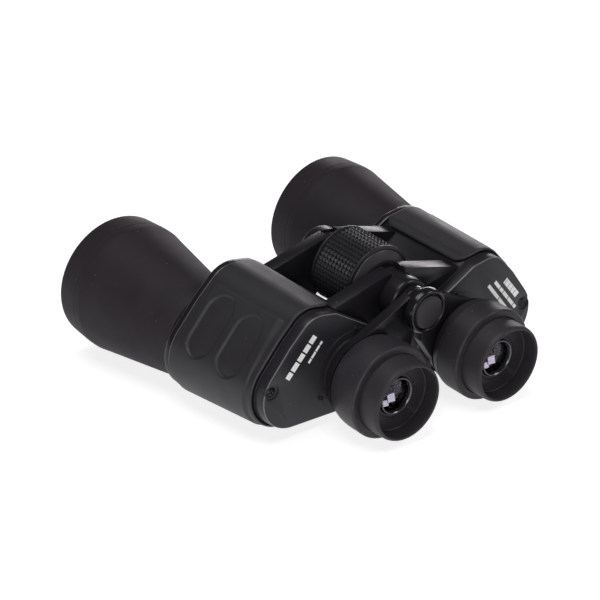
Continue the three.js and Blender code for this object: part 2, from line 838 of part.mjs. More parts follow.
function prismClip(side, from, to, base, heading) {
  const inner = porro.halfBase + glassGap * Math.SQRT2;
  const outer = inner + clip.thickness * Math.SQRT2;
  const outline = [
    [-outer, base],
    [-inner, base],
    [0, base + heading * inner],
    [inner, base],
    [outer, base],
    [0, base + heading * outer],
  ];
  const { centre, direction } = layOut(from, to, side);
  return crossBar(outline, clip.width, direction, centre);
}

const rearBase = shelf.rear - glassGap;
const frontBase = shelfFront + glassGap;

// ---- Assembly ------------------------------------------------------------------------------------

const binoculars = new THREE.Group();

function addPart(name, solid, material) {
  const { vertProperties, triVerts, numProp } = solid.getMesh();
  const geometry = new THREE.BufferGeometry();
  geometry.setAttribute("position", new THREE.BufferAttribute(new Float32Array(vertProperties), numProp));
  geometry.setIndex(new THREE.BufferAttribute(new Uint32Array(triVerts), 1));
  geometry.computeVertexNormals();
  const mesh = new THREE.Mesh(geometry, material);
  mesh.name = name;
  binoculars.add(mesh);
}

function addHalf(side, word) {
  const f = finishes;
  addPart(`${word}_prism_housing`, prismHousing(side), f.satinPaint);
  addPart(`${word}_armour`, rubberArmour(side), f.rubber);
  addPart(`${word}_front_cover`, frontCover(side), f.satinPaint);
  addPart(`${word}_rear_cover`, eyepieceCover(side), f.coverPaint);
  screwPlaces.forEach((place, i) => {
    addPart(`${word}_cover_screw_${i + 1}`, screw(onSide(place, side)), f.blackMetal);
  });
  addPart(`${word}_objective_barrel`, objectiveBarrel(side), f.satinPaint);
  addPart(`${word}_objective_ring`, objectiveRing(side), f.blackMetal);
  addPart(`${word}_crown_lens`, crownLens(side), f.glass);
  addPart(`${word}_flint_lens`, flintLens(side), f.glass);
  addPart(`${word}_prism_shelf`, prismShelf(side), f.plastic);
  const rearPrism = [side, objectiveAxis, betweenAxis, rearBase, -1];
  const frontPrism = [side, betweenAxis, eyeAxis, frontBase, 1];
  addPart(`${word}_rear_prism`, porroPrism(...rearPrism), f.glass);
  addPart(`${word}_front_prism`, porroPrism(...frontPrism), f.glass);
  addPart(`${word}_rear_prism_clip`, prismClip(...rearPrism), f.steel);
  addPart(`${word}_front_prism_clip`, prismClip(...frontPrism), f.steel);
}

function addEyepiece(side, word) {
  const f = finishes;
  addPart(`${word}_bridge_arm`, bridgeArm(side), f.satinPaint);
  addPart(`${word}_eyepiece_tube`, eyepieceTube(side), f.blackMetal);
  addPart(`${word}_eyecup`, rubberEyecup(side), f.rubber);
  addPart(`${word}_ocular_face`, ocularFace(side), f.plastic);
  addPart(`${word}_lens_ring`, eyeLensRing(side), f.blackMetal);
  addPart(`${word}_eye_lens`, eyepieceEyeLens(side), f.glass);
  addPart(`${word}_field_lens`, eyepieceFieldLens(side), f.glass);
  addPart(`${word}_field_stop`, eyepieceFieldStop(side), f.blackMetal);
}

function addCentre() {
  const f = finishes;
  addPart("hinge_front_cap", hingeFrontCap(), f.satinPaint);
  addPart("front_hinge_axle", frontAxle(), f.steel);
  addPart("rear_hinge_sleeve", rearSleeve(), f.steel);
  addPart("rear_hinge_collar", hingeCollar(), f.satinPaint);
  addPart("focus_wheel_core", wheelCore(), f.glossPlastic);
  addPart("focus_wheel_grip", wheelGrip(), f.rubber);
  addPart("focus_nut", focusNut(), f.brass);
  addPart("focus_spindle", focusSpindle(), f.steel);
  addPart("spindle_end_cap", spindleEndCap(), f.glossPlastic);
  addPart("end_cap_disc", endCapDisc(), f.plastic);
}

addHalf(-1, "left");
addHalf(1, "right");
addCentre();
addEyepiece(-1, "left");
addEyepiece(1, "right");
addPart("left_eyepiece_body", eyepieceBody(-1), finishes.plastic);
addPart("right_dioptre_seat", dioptreSeat(), finishes.plastic);
addPart("dioptre_ring", dioptreRing(), finishes.plastic);

const lowest = objectiveAxis.z - barrel.creaseRadius;
const middle = (barrel.front + eyecup.rear) / 2;
binoculars.position.set(0, -middle, -lowest);

export default binoculars;
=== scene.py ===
"""Looks of a pair of Porro-prism binoculars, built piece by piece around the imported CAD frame.

Sizes are in millimetres of the hinge frame: x to the right as seen from the eyepieces, y forward
to the objectives, z up, with the hinge, focus wheel and spindle on the y axis. at() turns them into
metres of the row frame. Right-hand sizes have x pointing outward, and a Side mirrors them.
"""

import json
import logging
import math
from bisect import bisect_right
from collections.abc import Callable
from dataclasses import dataclass, field
from enum import Enum
from functools import cache
from typing import ClassVar

import bpy
from mathutils import Matrix, Vector


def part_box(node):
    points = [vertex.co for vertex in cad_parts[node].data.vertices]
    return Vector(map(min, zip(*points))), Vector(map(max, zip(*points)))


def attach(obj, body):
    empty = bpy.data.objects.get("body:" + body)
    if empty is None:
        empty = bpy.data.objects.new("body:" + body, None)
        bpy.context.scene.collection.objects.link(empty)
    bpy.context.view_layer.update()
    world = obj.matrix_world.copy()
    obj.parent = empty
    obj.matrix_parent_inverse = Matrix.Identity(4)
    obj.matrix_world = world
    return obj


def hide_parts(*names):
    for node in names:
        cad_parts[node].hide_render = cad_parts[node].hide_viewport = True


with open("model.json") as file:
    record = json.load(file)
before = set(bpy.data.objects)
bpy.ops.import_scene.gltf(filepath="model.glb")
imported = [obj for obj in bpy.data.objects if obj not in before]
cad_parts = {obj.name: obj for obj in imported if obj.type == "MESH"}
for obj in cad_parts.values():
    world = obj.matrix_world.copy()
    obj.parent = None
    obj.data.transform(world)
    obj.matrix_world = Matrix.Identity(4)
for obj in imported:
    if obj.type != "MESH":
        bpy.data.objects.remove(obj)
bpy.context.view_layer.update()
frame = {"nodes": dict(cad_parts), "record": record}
MM = 0.001
END_CAP_FRONT = 61.9  # the spindle's end cap starts this far behind the hinge frame's origin
MIX_FACTOR, MIX_FIRST, MIX_SECOND, MIX_RESULT = 0, 6, 7, 2  # a colour mix node's sockets, by number
PRINT_RISE, PRINT_THICKNESS = 0.02, 0.06  # how far a print's middle stands off the cover, and its thickness
log = logging.getLogger("binoculars")

Piece = bpy.types.Object
Material = bpy.types.Material
Tree, Node, Socket = bpy.types.NodeTree, bpy.types.Node, bpy.types.NodeSocket
Colour = tuple[float, float, float]
Corner = tuple[float, ...]  # y, r and, where the corner is rounded, how much
DUST: Colour = (0.35, 0.34, 0.34)


def hinge_origin() -> Vector:
    """Returns the hinge frame's origin in the row frame, in metres."""
    low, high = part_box("spindle_end_cap")
    return Vector(((low.x + high.x) / 2, high.y + END_CAP_FRONT * MM, (low.z + high.z) / 2))


ORIGIN = hinge_origin()


def at(x: float, y: float, z: float) -> Vector:
    """Returns a place in millimetres of the hinge frame as metres of the row frame."""
    return ORIGIN + Vector((x, y, z)) * MM


@dataclass(frozen=True)
class Axis:
    """A turning axis along y, by where it crosses the x-z plane."""

    x: float = 0.0
    z: float = 0.0

    @classmethod
    def of(cls, node: str) -> "Axis":
        """Returns the axis through the middle of a CAD node's box."""
        low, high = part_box(node)
        middle = ((low + high) / 2 - ORIGIN) / MM
        return cls(middle.x, middle.z)


HINGE = Axis()


class Side(Enum):
    """The left or the right half, with the sign of its x."""

    LEFT = -1
    RIGHT = 1

    @property
    def word(self) -> str:
        """Returns the side's word in the names of nodes and pieces."""
        return self.name.lower()


class Slot(Enum):
    """The record's material slots."""

    CASTING = "satin_casting"
    COVER = "cover_casting"
    ARMOUR = "armour_rubber"
    WHEEL = "wheel_rubber"
    EYECUP = "eyecup_rubber"
    PLASTIC = "black_plastic"
    GLOSS = "gloss_plastic"
    ALUMINIUM = "blackened_aluminium"
    STEEL = "steel"
    BRASS = "brass"
    GLASS = "coated_glass"


# ---- Shader nodes --------------------------------------------------------------------------------


def set_sockets(node: Node, values: dict[str, object]) -> Node:
    """Sets a node's sockets by name and returns the node."""
    for word, value in values.items():
        node.inputs[word].default_value = value
    return node


def add_node(tree: Tree, kind: str, values: dict[str, object] | None = None) -> Node:
    """Returns a new node of a tree, of the kind that ends with the given word."""
    return set_sockets(tree.nodes.new(f"ShaderNode{kind}"), values or {})


def add_texture(tree: Tree, kind: str, values: dict[str, object] | None = None) -> Node:
    """Returns a new texture node that is laid over the object's own coordinates."""
    node = add_node(tree, kind, values)
    tree.links.new(add_node(tree, "TexCoord").outputs["Object"], node.inputs["Vector"])
    return node


def add_group(tree: Tree, group: Tree, **values: float) -> Node:
    """Returns a new node that holds a shared group.

    Args:
        tree: the tree that it joins.
        group: the shared group.
        values: the group's inputs by name.
    """
    node = add_node(tree, "Group")
    node.node_tree = group
    return set_sockets(node, values)


def ranged(tree: Tree, value: Socket, low: float, high: float,
           to_low: float = 0.0, to_high: float = 1.0) -> Socket:
    """Returns the output of a new node that maps one range of numbers onto another.

    Args:
        tree: the tree that it joins.
        value: where the number comes from.
        low: the number that gives to_low.
        high: the number that gives to_high.
        to_low: the result at one end.
        to_high: the result at the other end.
    """
    span = {"From Min": low, "From Max": high, "To Min": to_low, "To Max": to_high}
    node = add_node(tree, "MapRange", span)
    tree.links.new(value, node.inputs["Value"])
    return node.outputs["Result"]


def product(tree: Tree, first: Socket,
            second: Socket | float) -> Socket:
    """Returns the output of a new node that multiplies two numbers.

    Args:
        tree: the tree that it joins.
        first: where the first number comes from.
        second: the second number, or where it comes from.
    """
    node = add_node(tree, "Math")
    node.operation = "MULTIPLY"
    tree.links.new(first, node.inputs[0])
    if isinstance(second, float):
        node.inputs[1].default_value = second
    else:
        tree.links.new(second, node.inputs[1])
    return node.outputs["Value"]


def mix_colour(tree: Tree, first: Colour | Socket, second: Colour,
               share: Socket) -> Socket:
    """Returns the output of a new node that mixes two colours.

    Args:
        tree: the tree that it joins.
        first: the colour at 0, or where that colour comes from.
        second: the colour at 1.
        share: where the share comes from.
    """
    mix = add_node(tree, "Mix")
    mix.data_type = "RGBA"
    if isinstance(first, tuple):
        mix.inputs[MIX_FIRST].default_value = (*first, 1.0)
    else:
        tree.links.new(first, mix.inputs[MIX_FIRST])
    mix.inputs[MIX_SECOND].default_value = (*second, 1.0)
    tree.links.new(share, mix.inputs[MIX_FACTOR])
    return mix.outputs[MIX_RESULT]


def new_material(name: str, values: dict[str, object]) -> tuple[Material, Node]:
    """Returns a new material and its surface shader, whose sockets are set by name."""
    material = bpy.data.materials.new(name)
    material.use_nodes = True
    return material, set_sockets(material.node_tree.nodes["Principled BSDF"], values)


def new_group(name: str, inputs: dict[str, float], outputs: list[str]) -> Tree:
    """Starts a shader group.

    Args:
        name: the group's name.
        inputs: the number inputs, with their values at the start.
        outputs: the number outputs.

    Returns:
        The group, with a node for what it is given and a node for its result.
    """
    group = bpy.data.node_groups.new(name, "ShaderNodeTree")
    for word, value in inputs.items():
        socket = group.interface.new_socket(word, in_out="INPUT", socket_type="NodeSocketFloat")
        socket.default_value = value
    for word in outputs:
        group.interface.new_socket(word, in_out="OUTPUT", socket_type="NodeSocketFloat")
    group.nodes.new("NodeGroupInput").name = "given"
    group.nodes.new("NodeGroupOutput").name = "result"
    return group


@cache
def grain_group() -> Tree:
    """Returns the group that gives moulded or sprayed grain: a height and a mottle."""
    group = new_group("surface_grain", {"Scale": 1500.0, "Pebble": 0.5}, ["Height", "Mottle"])
    given, result, links = group.nodes["given"], group.nodes["result"], group.links
    fine = add_texture(group, "TexNoise", {"Detail": 3.0})
    pebble = add_texture(group, "TexVoronoi")
    pebble.feature = "SMOOTH_F1"
    mottle = add_texture(group, "TexNoise", {"Scale": 90.0, "Detail": 4.0})
    blend = add_node(group, "Mix")
    for texture in (fine, pebble):
        links.new(given.outputs["Scale"], texture.inputs["Scale"])
    links.new(given.outputs["Pebble"], blend.inputs["Factor"])
    links.new(fine.outputs["Fac"], blend.inputs["A"])
    links.new(pebble.outputs["Distance"], blend.inputs["B"])
    links.new(blend.outputs["Result"], result.inputs["Height"])
    links.new(mottle.outputs["Fac"], result.inputs["Mottle"])
    return group


@cache
def handling_group() -> Tree:
    """Returns the group that gives signs of handling: dust specks, smudges and rubbed edges."""
    group = new_group("handling_marks", {"Speck scale": 260.0}, ["Dust", "Smudge", "Edge"])
    given, result, links = group.nodes["given"], group.nodes["result"], group.links
    specks = add_texture(group, "TexVoronoi")
    few = add_texture(group, "TexNoise", {"Scale": 160.0})
    smudge = add_texture(group, "TexNoise", {"Scale": 38.0, "Detail": 6.0, "Distortion": 0.7})
    links.new(given.outputs["Speck scale"], specks.inputs["Scale"])
    near = ranged(group, specks.outputs["Distance"], 0.055, 0.035)
    some = ranged(group, few.outputs["Fac"], 0.56, 0.60)
    edge = ranged(group, add_node(group, "NewGeometry").outputs["Pointiness"], 0.53, 0.62)
    links.new(product(group, near, some), result.inputs["Dust"])
    links.new(smudge.outputs["Fac"], result.inputs["Smudge"])
    links.new(edge, result.inputs["Edge"])
    return group


# ---- Finishes ------------------------------------------------------------------------------------


@dataclass(frozen=True)
class Finish:
    """A surface: its colour, gloss, grain and how it has been handled.

    Grain is in grains per metre, relief in metres, and the rest are shares from 0 to 1.
    """

    name: str
    slot: Slot
    colour: Colour
    rubbed: Colour = (0.09, 0.086, 0.09)
    roughness: float = 0.45
    unevenness: float = 0.08
    metallic: float = 0.0
    specular: float = 0.22
    grain: float = 2600.0
    pebble: float = 0.2
    relief: float = 0.00001
    strength: float = 0.3
    edge: float = 0.0
    dust: float = 0.5

    @cache
    def material(self) -> Material:
        """Returns the finish's material, made the first time that it is asked for."""
        values = {"Metallic": self.metallic, "Specular IOR Level": self.specular}
        material, surface = new_material(self.name, values)
        tree = material.node_tree
        grain = add_group(tree, grain_group(), Scale=self.grain, Pebble=self.pebble)
        marks = add_group(tree, handling_group())
        darker, lighter = (tuple(share * c for c in self.colour) for share in (0.8, 1.2))
        colour = mix_colour(tree, darker, lighter, grain.outputs["Mottle"])
        colour = mix_colour(tree, colour, self.rubbed, product(tree, marks.outputs["Edge"], self.edge))
        colour = mix_colour(tree, colour, DUST, product(tree, marks.outputs["Dust"], self.dust))
        tree.links.new(colour, surface.inputs["Base Color"])
        gloss = ranged(tree, marks.outputs["Smudge"], 0.3, 0.7,
                       self.roughness - self.unevenness, self.roughness + self.unevenness)
        tree.links.new(gloss, surface.inputs["Roughness"])
        bump = add_node(tree, "Bump", {"Strength": self.strength, "Distance": self.relief})
        tree.links.new(grain.outputs["Height"], bump.inputs["Height"])
        tree.links.new(bump.outputs["Normal"], surface.inputs["Normal"])
        return material


@dataclass(frozen=True)
class Glass:
    """Polished glass with an anti-reflection coating that tints what it mirrors."""

    name: str
    tint: Colour
    coating: Colour
    slot: Slot = Slot.GLASS
    ior: float = 1.18

    @cache
    def material(self) -> Material:
        """Returns the glass's material, made the first time that it is asked for."""
        material, surface = new_material(self.name, {
            "Base Color": (*self.tint, 1.0), "Transmission Weight": 1.0,
            "IOR": self.ior, "Specular Tint": (*self.coating, 1.0),
        })
        tree = material.node_tree
        marks = add_group(tree, handling_group())
        film = ranged(tree, marks.outputs["Smudge"], 0.45, 0.8, 0.01, 0.05)
        tree.links.new(film, surface.inputs["Roughness"])
        return material


CASTING = Finish("satin_black_paint", Slot.CASTING, (0.0105, 0.0093, 0.0118), roughness=0.36, specular=0.26)
BARREL = Finish("barrel_satin_paint", Slot.CASTING, (0.0205, 0.0166, 0.0206), roughness=0.64, specular=0.16,
                grain=3000.0, pebble=0.15, edge=0.1)
COVER = Finish("cover_satin_paint", Slot.COVER, (0.0150, 0.0138, 0.0172), roughness=0.42, specular=0.26)
ARMOUR = Finish("fine_grained_rubber", Slot.ARMOUR, (0.0180, 0.0165, 0.0200), roughness=0.52, specular=0.36,
                grain=1500.0, pebble=0.6, relief=0.00003, strength=0.55, edge=0.2)
WHEEL_RUBBER = Finish("knurled_rubber", Slot.WHEEL, (0.0130, 0.0118, 0.0145), roughness=0.4, specular=0.32,
                      pebble=0.4, edge=0.4)
CUP_RUBBER = Finish("smooth_matte_rubber", Slot.EYECUP, (0.0275, 0.0235, 0.0285), roughness=0.52,
                    grain=2800.0, edge=0.15, dust=1.0)
PLASTIC = Finish("satin_moulded_plastic", Slot.PLASTIC, (0.0255, 0.0220, 0.0270), grain=2800.0, pebble=0.3,
                 edge=0.2)
GLOSS = Finish("polished_plastic", Slot.GLOSS, (0.0085, 0.0076, 0.0094), roughness=0.22, unevenness=0.05,
               specular=0.34, grain=900.0, pebble=0.0, relief=0.000006, strength=0.2, edge=0.3)
WHEEL_CONE = Finish("satin_wheel_cone", Slot.GLOSS, (0.045, 0.040, 0.047), roughness=0.38, unevenness=0.05,
                    metallic=0.4, specular=0.5, grain=2400.0, pebble=0.4, relief=0.000008, edge=0.3)
# painted highlight: a lighter copy of the satin casting paint that rounded edges take, to draw thin bright
# lines of light along them
EDGE_HIGHLIGHT = Finish("bright_edge_paint", Slot.CASTING, (0.11, 0.104, 0.115), roughness=0.32, specular=0.4,
              strength=0.2, dust=0.0)
ALUMINIUM = Finish("black_anodised_metal", Slot.ALUMINIUM, (0.010, 0.010, 0.011), roughness=0.28,
                   metallic=0.3, grain=3000.0, pebble=0.4, relief=0.000008, edge=0.5, dust=0.2)
LENS_RING = Finish("bright_turned_ring", Slot.ALUMINIUM, (0.10, 0.098, 0.104), roughness=0.26, metallic=0.8,
                   specular=0.5, grain=3000.0, pebble=0.4, relief=0.000008, edge=0.25, dust=0.2)
STEEL = Finish("turned_steel", Slot.STEEL, (0.32, 0.32, 0.33), (0.5, 0.5, 0.5), 0.3, 0.1, 1.0,
               grain=2400.0, pebble=0.4, edge=0.25, dust=0.0)
BRASS = Finish("turned_brass", Slot.BRASS, (0.5, 0.38, 0.16), (0.7, 0.6, 0.3), 0.3, 0.1, 1.0,
               grain=2400.0, pebble=0.4, edge=0.25, dust=0.0)
PRINT = Finish("white_print", Slot.COVER, (0.75, 0.75, 0.75), (0.8, 0.8, 0.8), 0.5,
               pebble=0.4, relief=0.000004, strength=0.2, edge=0.25, dust=0.0)
SILVERED = Finish("silvered_prism_face", Slot.GLASS, (0.68, 0.66, 0.70), roughness=0.08, unevenness=0.03,
                  metallic=1.0, strength=0.0, dust=0.0)
GLASS = Glass("eye_lens_glass", (0.78, 0.75, 0.82), (0.86, 0.78, 1.0))
FRONT_GLASS = Glass("objective_glass", (0.3, 0.28, 0.42), (0.55, 0.45, 1.0), ior=1.35)

KEPT_FINISHES = {  # CAD nodes whose own shape shows, or that hide inside the housings
    STEEL: ["front_hinge_axle", "rear_hinge_sleeve", "focus_spindle"],
    BRASS: ["focus_nut"],
}
SIDED_FINISHES = {
    STEEL: ["rear_prism_clip", "front_prism_clip"],
    PLASTIC: ["prism_shelf"],
    GLASS: ["rear_prism", "front_prism", "field_lens"],
    ALUMINIUM: ["field_stop"],
}


# ---- Bench: the modelling steps that every sub-assembly uses --------------------------------------


def clear_selection() -> None:
    """Leaves edit mode and deselects everything."""
    if bpy.context.mode != "OBJECT":
        bpy.ops.object.mode_set(mode="OBJECT")
    bpy.ops.object.select_all(action="DESELECT")


def end_edit() -> None:
    """Leaves edit mode."""
    bpy.ops.object.mode_set(mode="OBJECT")


def take(piece: Piece) -> None:
    """Makes a piece the only selected object and the active one."""
    clear_selection()
    piece.select_set(True)
    bpy.context.view_layer.objects.active = piece


def edit_all(piece: Piece) -> None:
    """Opens a piece in edit mode with its whole mesh selected."""
    take(piece)
    bpy.ops.object.mode_set(mode="EDIT")
    bpy.ops.mesh.select_all(action="SELECT")


def select_faces(piece: Piece, wanted: Callable[[Vector, Vector], bool]) -> None:
    """Opens a piece in edit mode with some of its faces selected.

    Args:
        piece: the piece.
        wanted: says of a face's middle, in hinge-frame millimetres, and its normal if it is wanted.
    """
    take(piece)
    bpy.ops.object.mode_set(mode="EDIT")
    bpy.ops.mesh.select_mode(type="FACE")
    bpy.ops.mesh.select_all(action="DESELECT")
    end_edit()
    for face in piece.data.polygons:
        face.select = wanted((face.center - ORIGIN) / MM, face.normal)
    bpy.ops.object.mode_set(mode="EDIT")


def rounded(corners: list[Corner], cuts: int = 4) -> list[tuple[float, float]]:
    """Returns a closed outline with its corners rounded.

    Args:
        corners: the corners in order, each with how far its rounding reaches, if it has one.
        cuts: the number of straight cuts in each rounding.
    """
    points: list[tuple[float, float]] = []
    for i, corner in enumerate(corners):
        here = Vector(corner[:2])
        reach = corner[2] if len(corner) > 2 else 0.0
        if reach == 0.0:
            points.append(tuple(here))
            continue
        before = Vector(corners[i - 1][:2]) - here
        after = Vector(corners[(i + 1) % len(corners)][:2]) - here
        start = here + before * min(reach / before.length, 0.49)
        end = here + after * min(reach / after.length, 0.49)
        for step in range(cuts + 1):
            t = step / cuts
            points.append(tuple(start * (1 - t) ** 2 + here * 2 * t * (1 - t) + end * t * t))
    return points


def turned(name: str, corners: list[Corner], axis: Axis, steps: int = 96) -> Piece:
    """Models a solid of revolution by spinning a section.

    Args:
        name: the piece's name.
        corners: the section's corners as y and r, in order.
        axis: the axis that it turns about.
        steps: the number of steps round the axis.

    Returns:
        The piece, smooth but for its sharp edges.
    """
    points = rounded(corners)
    clear_selection()
    bpy.ops.mesh.primitive_circle_add(vertices=len(points), radius=MM)
    piece = bpy.context.object
    piece.name = name
    for vertex, (y, r) in zip(piece.data.vertices, points):
        vertex.co = at(axis.x + r, y, axis.z)
    edit_all(piece)
    bpy.ops.mesh.spin(steps=steps, angle=math.tau, center=at(axis.x, 0, axis.z), axis=(0, 1, 0))
    bpy.ops.mesh.select_all(action="SELECT")
    bpy.ops.mesh.remove_doubles(threshold=0.004 * MM)
    bpy.ops.mesh.delete_loose()
    bpy.ops.mesh.select_all(action="SELECT")
    bpy.ops.mesh.normals_make_consistent(inside=False)
    smooth(piece)
    return piece


def smooth(piece: Piece, angle: float = 38.0) -> None:
    """Shades a piece smooth, apart from edges sharper than an angle in degrees."""
    take(piece)
    bpy.ops.object.shade_smooth_by_angle(angle=math.radians(angle))


def apply_modifier(piece: Piece, kind: str, **settings: object) -> None:
    """Adds a modifier, sets it and applies it.

    Args:
        piece: the piece.
        kind: the modifier's type.
        settings: its settings by name.
    """
    take(piece)
    bpy.ops.object.modifier_add(type=kind)
    modifier = piece.modifiers[-1]
    for word, value in settings.items():
        setattr(modifier, word, value)
    bpy.ops.object.modifier_apply(modifier=modifier.name)


def combine(piece: Piece, tool: Piece, operation: str = "DIFFERENCE") -> None:
    """Cuts a tool out of a piece, or joins it on, and throws the tool away."""
    apply_modifier(piece, "BOOLEAN", operation=operation, object=tool, solver="EXACT")
    bpy.data.objects.remove(tool)


def soften(piece: Piece, width: float, cuts: int = 2, angle: float = 32.0) -> None:
    """Rounds a piece's sharp edges.

    Args:
        piece: the piece.
        width: the rounding's width in millimetres.
        cuts: the number of faces across it.
        angle: the least angle that counts as sharp, in degrees.
    """
    apply_modifier(
        piece, "BEVEL", width=width * MM, segments=cuts, limit_method="ANGLE",
        angle_limit=math.radians(angle), use_clamp_overlap=True,
        # the bevel's faces take the piece's last material, which is the painted edge highlight where the piece
        # was given one
        material=len(piece.data.materials) - 1,
    )
    smooth(piece)


def line_edges(piece: Piece, finish: Finish) -> None:
    """Gives a piece its finish and a painted edge highlight: a lighter colour that its rounded edges take,
    drawn as thin lines of light.
    """
    for each in (finish, EDGE_HIGHLIGHT):
        piece.data.materials.append(each.material())


def disc(x: float, z: float, radius: float, rear: float, front: float, sides: int = 64) -> Piece:
    """Returns a round bar along y, used as a tool or as the start of a piece."""
    clear_selection()
    bpy.ops.mesh.primitive_cylinder_add(
        vertices=sides, radius=radius * MM, depth=(front - rear) * MM,
        location=at(x, (rear + front) / 2, z), rotation=(math.pi / 2, 0, 0),
    )
    settle_place(bpy.context.object)
    return bpy.context.object


def settle_place(piece: Piece) -> None:
    """Puts a piece's place, turn and size into its mesh."""
    take(piece)
    bpy.ops.object.transform_apply(location=True, rotation=True, scale=True)


def brick(middle: Vector, sizes: tuple[float, float, float],
          turn: tuple[float, float, float]) -> Piece:
    """Returns a turned box.

    Args:
        middle: its middle, in metres of the row frame.
        sizes: its sides in millimetres.
        turn: how far it is turned about x, y and z, in radians.
    """
    clear_selection()
    bpy.ops.mesh.primitive_cube_add(size=MM, location=middle)
    piece = bpy.context.object
    piece.scale = sizes
    piece.rotation_euler = turn
    settle_place(piece)
    return piece


def joined(pieces: list[Piece], name: str) -> Piece:
    """Joins pieces into one piece and names it."""
    clear_selection()
    for each in pieces:
        each.select_set(True)
    bpy.context.view_layer.objects.active = pieces[0]
    bpy.ops.object.join()
    bpy.context.object.name = name
    return bpy.context.object


def cad_copy(node: str, name: str) -> Piece:
    """Returns a merged copy of a CAD node's mesh, with flat faces joined up."""
    source = frame["nodes"][node]
    piece = bpy.data.objects.new(name, source.data.copy())
    piece.data.materials.clear()
    bpy.context.scene.collection.objects.link(piece)
    edit_all(piece)
    bpy.ops.mesh.remove_doubles(threshold=0.001 * MM)
    bpy.ops.mesh.dissolve_limited(angle_limit=math.radians(0.5))
    end_edit()
    return piece


def other_side(piece: Piece, name: str) -> Piece:
    """Returns a mirror image of a piece about the hinge, with its own mesh."""
    copy = bpy.data.objects.new(name, piece.data.copy())
    bpy.context.scene.collection.objects.link(copy)
    mirror = Matrix.Translation(ORIGIN) @ Matrix.Scale(-1, 4, (1, 0, 0)) @ Matrix.Translation(-ORIGIN)
    copy.data.transform(mirror)
    copy.data.flip_normals()
    return copy


def body_of(node: str) -> str:
    """Returns the name of the body that a CAD node rides on."""
    bodies = frame["record"]["behaviour"]["bodies"]
    return next(body for body, nodes in bodies.items() if node in nodes)


def dress(piece: Piece, finish: Finish | Glass, node: str, stands_for: bool = True) -> None:
    """Gives a piece its finish and hangs it on the body of a CAD node.

    Args:
        piece: the piece.
        finish: its finish.
        node: the CAD node that it belongs with.
        stands_for: whether it takes the node's place.
    """
    clear_selection()
    if not piece.data.materials:
        piece.data.materials.append(finish.material())
    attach(piece, body_of(node))
    if stands_for:
        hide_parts(node)
    log.info("%s: %d faces, rides on %s", piece.name, len(piece.data.polygons), body_of(node))


# ---- Halves: castings, armour, covers and barrels --------------------------------------------------


@dataclass(frozen=True)
class HousingShape:
    """The outline that the casting, the armour and both covers share, and how it tapers."""

    rear: float = -45.5
    front: float = 7.4
    anchor_x: float = 42.0
    anchor_z: float = 8.0
    grow_x: float = 0.12
    grow_z: float = 0.08
    rounds: tuple[tuple[float, float, float], ...] = (
        (62.73, -27.82, 17.4),
        (30.06, -25.41, 20.5),
        (50.5, -6.0, 12.6),
        (56.0, -14.0, 14.2),
        (44.0, -3.0, 8.5),
    )

    def tapered(self, x: float, y: float, z: float) -> Vector:
        """Returns where the taper takes a point of the outline at the distance y along the hinge."""
        share = (y - self.rear) / (self.front - self.rear)
        outward = max(x - self.anchor_x, 0.0)
        return at(x + outward * self.grow_x * share, y,
                  self.anchor_z + (z - self.anchor_z) * (1 + self.grow_z * share))

    def block(self, name: str, growth: float, rear: float, front: float) -> Piece:
        """Models the right housing's outline as a solid block.

        Args:
            name: the piece's name.
            growth: how far the outline is grown, in millimetres.
            rear: the block's rear face.
            front: the block's front face.
        """
        bars = [disc(x, z, radius + growth, rear, front) for x, z, radius in self.rounds]
        piece = joined(bars, name)
        edit_all(piece)
        bpy.ops.mesh.convex_hull()
        bpy.ops.mesh.select_all(action="SELECT")
        bpy.ops.mesh.remove_doubles(threshold=0.02 * MM)
        bpy.ops.mesh.dissolve_limited(angle_limit=math.radians(0.4))
        end_edit()
        for vertex in piece.data.vertices:
            place = (vertex.co - ORIGIN) / MM
            vertex.co = self.tapered(place.x, place.y, place.z)
        return piece

    def outline(self, growth: float) -> list[Vector]:
        """Returns the outline's points round the outside, from its highest point outward and down."""
        turn = 240
        spots = [
            Vector((x + (radius + growth) * math.cos(math.tau * i / turn),
                    z + (radius + growth) * math.sin(math.tau * i / turn)))
            for x, z, radius in self.rounds for i in range(turn)
        ]
        ring = hull(spots)
        top = max(range(len(ring)), key=lambda i: ring[i].y)
        return ring[top:] + ring[:top]


def hull(spots: list[Vector]) -> list[Vector]:
    """Returns the corners of the smallest belt round some points, clockwise."""
    ordered = sorted(spots, key=lambda p: (p.x, p.y))

    def chain(points: list[Vector]) -> list[Vector]:
        """Returns one half of the belt, without its last corner."""
        kept: list[Vector] = []
        for point in points:
            while len(kept) > 1 and turns_right(kept[-2], kept[-1], point):
                kept.pop()
            kept.append(point)
        return kept[:-1]

    return list(reversed(chain(ordered) + chain(ordered[::-1])))


def turns_right(a: Vector, b: Vector, c: Vector) -> bool:
    """Returns whether the way from a by b to c keeps straight on or turns right."""
    return (b.x - a.x) * (c.y - b.y) - (b.y - a.y) * (c.x - b.x) <= 0


SHAPE = HousingShape()


